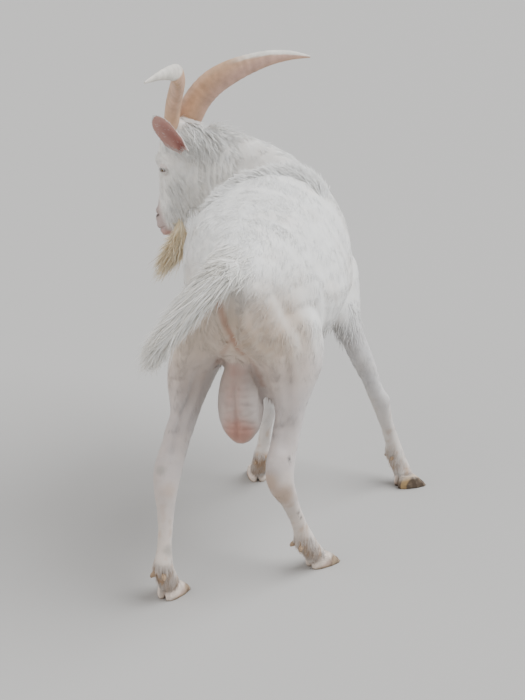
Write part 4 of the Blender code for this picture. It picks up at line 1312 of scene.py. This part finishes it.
# Long locks of the tail and the beard
beardLine = ((0.396, -0.424, 0.675, 0.015, 0.030), (0.398, -0.415, 0.617, 0.018, 0.031),
             (0.422, -0.402, 0.562, 0.017, 0.027), (0.468, -0.392, 0.495, 0.006, 0.011))
lockPlans = {
    "tail_locks": {
        "count": 4700, "line": tailLine, "levels": 6, "start": (0.0, 0.74), "reach": (0.20, 0.40),
        "spread": 0.98, "width": 0.0027, "tints": ("white", "ivory"), "seed": 31, "wander": 0.12,
        "fray": 0.012, "droop": 0.014, "thickness": 0.5, "tipShade": 0.97, "softness": 0.8, "replaces": ()},
    "beard_locks": {
        "count": 2200, "line": beardLine, "levels": 8, "start": (0.0, 0.35), "reach": (0.22, 0.64),
        "spread": 0.80, "width": 0.0024, "tints": ("cream", "straw"), "seed": 32, "wander": 0.20,
        "fray": 0.013, "droop": 0.004, "thickness": 0.5, "tipShade": 0.97, "softness": 0.8,
        "replaces": ("beard",)},
}


def growLongLocks(name, plan):
    dice = np.random.default_rng(plan["seed"])
    rows = np.array(smoothValues(plan["line"], 20))
    middles = rows[:, :3] + np.array(modelShift)
    ways = unit(np.gradient(middles, axis=0))
    across = unit(np.cross(np.array((0, 0, 1.0)), ways))
    depths = unit(np.cross(ways, across))
    count, levels = plan["count"], plan["levels"]

    # where each lock starts and ends along the line
    start = dice.uniform(*plan["start"], count)
    reach = dice.uniform(*plan["reach"], count)
    turn = dice.uniform(0, 2 * math.pi, count)
    radius = np.sqrt(dice.uniform(0.15, 1, count)) * plan["spread"]
    reach = np.minimum(reach, dice.uniform(0.88, 1.0, count) - start)
    stops = (start[:, None] + reach[:, None] * np.linspace(0, 1, levels + 1)[None]).clip(0, 1)
    spots = stops * (len(rows) - 1)
    low = np.floor(spots).astype(int).clip(0, len(rows) - 2)
    part = (spots - low)[:, :, None]

    def pick(values):
        return values[low] * (1 - part) + values[low + 1] * part

    # how far out it lies, in shares of the bundle's half width and half depth
    wander = plan["wander"] * np.sin(stops * 9 + dice.uniform(0, 6.28, count)[:, None])
    a = (np.cos(turn) * radius)[:, None] + wander
    b = (np.sin(turn) * radius)[:, None] + wander * 0.7
    inside = np.maximum(1, np.hypot(a, b))
    rooted = 0.45 + 0.55 * soft(stops, 0.0, 0.22)
    a = a / inside * rooted
    b = b / inside * rooted
    lead = np.linspace(0.82, 1.0, levels + 1)[None]
    paths = pick(middles) + pick(across) * (a * lead * pick(rows[:, 3:4])[:, :, 0])[:, :, None]
    paths = paths + pick(depths) * (b * lead * pick(rows[:, 4:5])[:, :, 0])[:, :, None]

    # the tips fray and droop, a few of them more
    free = np.linspace(0, 1, levels + 1)[None, :, None] ** 2.2
    stray = dice.normal(0, 1, (count, 1, 3)).clip(-1.5, 1.5)
    stray = stray * (1 + 0.6 * (dice.uniform(0, 1, (count, 1, 1)) < 0.12))
    paths = paths + stray * plan["fray"] * free
    paths[:, :, 2] -= (plan["droop"] * dice.uniform(0, 1, count)[:, None] * free[:, :, 0])
    flow = unit(paths[:, -1] - paths[:, 0])
    ups = unit(pick(across)[:, 1] * a[:, 1:2] + pick(depths)[:, 1] * b[:, 1:2] + 0.01)
    sides = unit(np.cross(ups, flow))
    ups = unit(np.cross(flow, sides))
    widths = plan["width"] * dice.uniform(0.6, 1.4, count)
    first, last = (np.array(tints[tint]) for tint in plan["tints"])
    colours = first + (last - first) * dice.uniform(0, 1, count)[:, None]
    places = np.column_stack([0.03 + 0.94 * turn / (2 * math.pi), 0.03 + 0.94 * start])
    piece = growLocks(name, paths, sides, ups, widths, plan["thickness"], colours, places,
                      colours * plan["tipShade"], plan["seed"], plan["softness"])
    if plan["replaces"]:
        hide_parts(*plan["replaces"])


# The coat, region by region
coatPlans = {
    "coat_rump": {
        "count": 11900, "length": 0.022, "width": 0.0028, "stand": 0.055, "stray": 0.12, "seed": 41},
    "coat_shoulders": {
        "count": 11900, "length": 0.023, "width": 0.0029, "stand": 0.060, "stray": 0.14, "seed": 42},
    "coat_neck": {
        "count": 9500, "length": 0.030, "width": 0.0030, "stand": 0.07, "stray": 0.13, "seed": 43,
        "wave": 0.05},
    "coat_folds": {
        "count": 2600, "length": 0.014, "width": 0.0018, "stand": 0.05, "stray": 0.12, "seed": 50},
    "coat_face": {
        "count": 11000, "length": 0.0130, "width": 0.0016, "stand": 0.10, "stray": 0.16, "seed": 44},
    "coat_thighs": {
        "count": 11500, "length": 0.021, "width": 0.0027, "stand": 0.055, "stray": 0.12, "seed": 45},
    "coat_forearms": {
        "count": 8000, "length": 0.019, "width": 0.0025, "stand": 0.06, "stray": 0.12, "seed": 46},
    "coat_shanks": {
        "count": 9800, "length": 0.012, "width": 0.0018, "stand": 0.06, "stray": 0.13, "seed": 47},
    "coat_ears": {
        "count": 3200, "length": 0.012, "width": 0.0013, "stand": 0.12, "stray": 0.18, "seed": 48},
    "crest_tufts": {
        "count": 3000, "length": 0.038, "width": 0.0030, "stand": 0.05, "stray": 0.14, "seed": 49,
        "wave": 0.05, "levels": 4, "tint": "white", "tintShare": 0.8},
    "poll_mane": {
        "count": 2600, "length": 0.036, "width": 0.0026, "stand": 0.13, "stray": 0.22, "seed": 51,
        "wave": 0.08, "levels": 4, "fall": 0.75, "tint": "white", "tintShare": 0.6},
    "nape_bridge": {
        "count": 700, "length": 0.062, "width": 0.0028, "stand": 0.20, "stray": 0.22, "seed": 54,
        "wave": 0.05, "levels": 5, "fall": 0.6, "tint": "white", "tintShare": 0.6},
    "jaw_strands": {
        "count": 800, "length": 0.042, "width": 0.0021, "stand": 0.10, "stray": 0.14, "seed": 52,
        "wave": 0.03, "levels": 5, "drop": 0.25, "way": (0, 0, -1), "pull": 0.45, "tint": "white",
        "tintShare": 0.6},
    "eyelashes": {
        "count": 420, "length": 0.011, "width": 0.0007, "stand": 0.55, "stray": 0.25, "seed": 55,
        "levels": 4, "fall": 0.7, "tint": "white", "tintShare": 0.8},
    "belly_fringe": {
        "count": 1500, "length": 0.038, "width": 0.0024, "stand": 0.10, "stray": 0.2, "seed": 56,
        "levels": 4, "drop": 0.45, "wave": 0.04},
    "elbow_tufts": {
        "count": 240, "length": 0.034, "width": 0.0024, "stand": 0.16, "stray": 0.25, "seed": 57,
        "levels": 4, "drop": 0.25, "wave": 0.05},
    "spine_tufts": {
        "count": 2400, "length": 0.032, "width": 0.0028, "stand": 0.07, "stray": 0.18, "seed": 58,
        "levels": 4, "wave": 0.04, "tint": "white", "tintShare": 0.7},
    "dock_tufts": {
        "count": 1700, "length": 0.054, "width": 0.0027, "stand": 0.10, "stray": 0.10, "seed": 63,
        "levels": 5, "swirl": 0.1, "wave": 0.04, "way": (0.62, 0.60, -0.35), "pull": 0.75,
        "tint": "ivory", "tintShare": 0.5},
    "purse_down": {
        "count": 1500, "length": 0.011, "width": 0.0011, "stand": 0.06, "stray": 0.25, "seed": 60},
    "fetlock_tufts": {
        "count": 2000, "length": 0.022, "width": 0.0019, "stand": 0.12, "stray": 0.2, "seed": 53,
        "levels": 4, "drop": 0.15},
    "coronet_tufts": {
        "count": 2200, "length": 0.020, "width": 0.0018, "stand": 0.16, "stray": 0.14, "seed": 61,
        "levels": 4, "fall": 0.5, "drop": 0.10},
    "withers_fringe": {
        "count": 2400, "length": 0.042, "width": 0.0026, "stand": 0.24, "stray": 0.16, "seed": 62,
        "levels": 4, "wave": 0.05, "way": (0.75, -0.60, 0.0), "pull": 0.85, "tint": "white",
        "tintShare": 0.9},
}
withersLine = ((0.191, -0.069, 0.827), (0.187, -0.158, 0.836), (0.164, -0.181, 0.847), (0.108, -0.217, 0.861),
               (0.037, -0.251, 0.860), (-0.018, -0.252, 0.837), (-0.046, -0.233, 0.816))
elbowPlaces = ((0.134, -0.205, 0.500), (-0.112, -0.225, 0.490))


def headHair(ground):
    # the crown, the nape, the jaw and the ears
    points, normals, regions = ground.points, ground.normals, ground.regions
    down, front, _ = headPlaces(points)
    head, neck = isPart(regions, "head"), isPart(regions, "neck")
    ears = isPart(regions, "ear_left", "ear_right")
    covered = 1 - ground.bare
    offHorn = np.ones(len(points))
    for hand in (1, -1):
        line = np.array([onHead(-row[0], -row[1], hand * row[2]) for row in hornPlan["line"][:4]])
        offHorn *= soft(awayFromLine(points, line)[0], 0.030, 0.036)
    crown = head * soft(0.075 - down, 0.0, 0.03) * soft(0.02 - front, 0, 0.03) * offHorn
    backCrown = head * soft(0.060 - down, 0.0, 0.02) * soft(-front, 0.025, 0.045) * offHorn
    nape = neck * soft(-np.linalg.norm(points - np.array(onHead(0.02, -0.10, 0.0)), axis=1), -0.12, -0.06)
    nape = nape * soft(points[:, 2], 0.835, 0.87)
    jaw = head * soft(down, 0.10, 0.15) * soft(0.275 - down, 0, 0.03) * soft(-front, -0.005, 0.03) * covered
    return {
        "coat_face": head * covered * (1 + soft(0.08 - down, 0, 0.05)) * (0.05 + 0.95 * offHorn),
        "coat_ears": ears * (1 - 0.85 * insideEar(points, normals, regions)),
        "poll_mane": crown + 0.8 * nape,
        "nape_bridge": backCrown,
        "jaw_strands": jaw * (1 - 0.8 * soft(-front, 0.055, 0.075)),
        "eyelashes": head * roundEye(points, 1.5, 2.1) * (1 - roundEye(points, 0.95, 1.1)),
    }


def bodyHair(ground):
    points, normals, regions = ground.points, ground.normals, ground.regions
    y, z = points[:, 1], points[:, 2]
    backwards, upwards = normals[:, 1], normals[:, 2]
    neck, trunk = isPart(regions, "neck"), isPart(regions, "trunk")
    forearms = isPart(regions, "fore_left_forearm", "fore_right_forearm")
    thighs = isPart(regions, "hind_left_thigh", "hind_right_thigh")
    shanks = isPart(regions, *[f"{leg}_shank" for leg in legNames])
    folds = np.zeros(len(points))
    for height in (0.87, 0.82, 0.77):
        folds = np.maximum(folds, near(points, (0.290, -0.41, height), 0.085))
    elbows = np.zeros(len(points))
    for place in elbowPlaces:
        elbows = np.maximum(elbows, near(points, place, 0.085) * soft(backwards, -0.2, 0.5))
    # no long hair over the creases and the top of the purse
    upper, lower = redLines[0][0], redLines[1][0]
    creases = np.maximum(creaseShare(points, upper, 0.035), creaseShare(points, lower, 0.030))
    smooth = (1 - 0.9 * creases) * (1 - 0.95 * near(points, (0.034, 0.350, 0.572), 0.060))
    dock = (trunk + isPart(regions, "tail")) * near(points, (0.034, 0.372, 0.796), 0.068)
    withers = awayFromLine(points, np.array([placed(point) for point in withersLine]))[0]
    return {
        "coat_rump": trunk * (y > 0.05) * smooth,
        "coat_shoulders": trunk * (y <= 0.05),
        "coat_neck": neck * (1 - 0.9 * folds),
        "coat_folds": neck * folds + 0.001,
        "coat_thighs": thighs * smooth,
        "coat_forearms": forearms * 1.0,
        "coat_shanks": shanks * 1.0,
        "crest_tufts": (neck + trunk) * soft(upwards, 0.72, 0.95) * soft(-y, -0.02, 0.12),
        "spine_tufts": trunk * soft(upwards, 0.80, 0.96) * soft(y, -0.10, 0.0),
        "withers_fringe": trunk * soft(-withers, -0.03, -0.012),
        "dock_tufts": dock * soft(upwards, 0.0, 0.5),
        "belly_fringe": trunk * soft(-upwards, 0.35, 0.8) * soft(y, -0.22, -0.12) * soft(0.36 - y, 0, 0.1),
        "elbow_tufts": elbows * (forearms + trunk),
        "purse_down": isPart(regions, "scrotum") * 1.0,
        "fetlock_tufts": shanks * soft(0.125 - z, 0, 0.02) * soft(z, 0.03, 0.05) * soft(backwards, -0.2, 0.4),
        "coronet_tufts": shanks * soft(0.062 - z, 0, 0.01) * soft(z, 0.026, 0.034),
    }


# What only the bare skin shows: nostrils and the line of the mouth, painted dark as painted shade in these
# hollows, on the face's own map
faceShadeLines = (
    (((0.288, 0.018, 0.020), (0.281, 0.010, 0.028), (0.272, 0.002, 0.032)), 0.0034, 0.92),
    (((0.325, 0.004, 0.004), (0.319, 0.000, 0.018), (0.311, -0.010, 0.028), (0.300, -0.028, 0.032)),
     0.0018, 0.75),
)
barePlan = {"muzzle": 0.92, "lip": 0.9, "thinHair": 0.35, "lidEdge": 0.75, "innerEar": 0.9, "earDepth": 0.085}


def paintSkin(skin, ground):
    points, regions = ground.points, ground.regions
    colours = ground.colours.copy()
    head = isPart(regions, "head")
    down, front, side = headPlaces(points)
    nose = noseShare(points, regions)
    blendTint(colours, "muzzle", nose * barePlan["muzzle"])
    lip = head * soft(down, 0.300, 0.315) * soft(-front, 0.004, 0.016)
    blendTint(colours, "lip", lip * barePlan["lip"])
    faceMap = np.column_stack([down, front, np.abs(side)])
    # the nostrils and the mouth line are painted dark, as painted shade
    for line, width, share in faceShadeLines:
        away, _ = awayFromLine(faceMap, np.array(line))
        blendTint(colours, "dark", share * np.exp(-(away / width) ** 4) * head)
    blendTint(colours, "lip", ground.bare * (1 - nose) * barePlan["thinHair"])
    blendTint(colours, "dark", roundEye(points, 1.0, 1.22) * barePlan["lidEdge"])
    inner = insideEar(points, ground.normals, regions)
    blendTint(colours, "innerEar", inner * barePlan["innerEar"])
    # deep in each ear, towards its root, the skin is painted darker as painted shade of the ear's hollow
    for word in ("left", "right"):
        root, along = onHead(*onEar(word, "root")), headWay(*onEar(word, "way"))
        away, share = awayFromLine(points, np.array([root, root + along * barePlan["earDepth"]]))
        depth = inner * soft(-away, -0.018, -0.004) * (1 - 0.6 * share)
        blendTint(colours, "earDepth", depth * isPart(regions, f"ear_{word}"))
    paint(skin.data, colours)
    skin.data.materials.clear()
    skin.data.materials.append(materials["skin"])
    skin.data.polygons.foreach_set("material_index", np.zeros(len(skin.data.polygons), dtype=np.int32))
    print("skin painted")


makeStage()
skin = makeSkin()
ground = Ground(skin)
paintSkin(skin, ground)
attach(skin, "root")
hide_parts(*fleshNodes, "ear_left", "ear_right")

for word in ("left", "right"):
    makeHorn(word)
    makeEye(word)
for leg in legNames:
    for word in ("left", "right"):
        makeClaw(f"{leg}_claw_{word}")
        makeClaw(f"{leg}_dewclaw_{word}")
print("horns, eyes and hooves made")

weights = {**headHair(ground), **bodyHair(ground)}
for name, plan in coatPlans.items():
    growTufts(ground, name, plan, weights[name])
for name, plan in lockPlans.items():
    growLongLocks(name, plan)
print("coat grown")
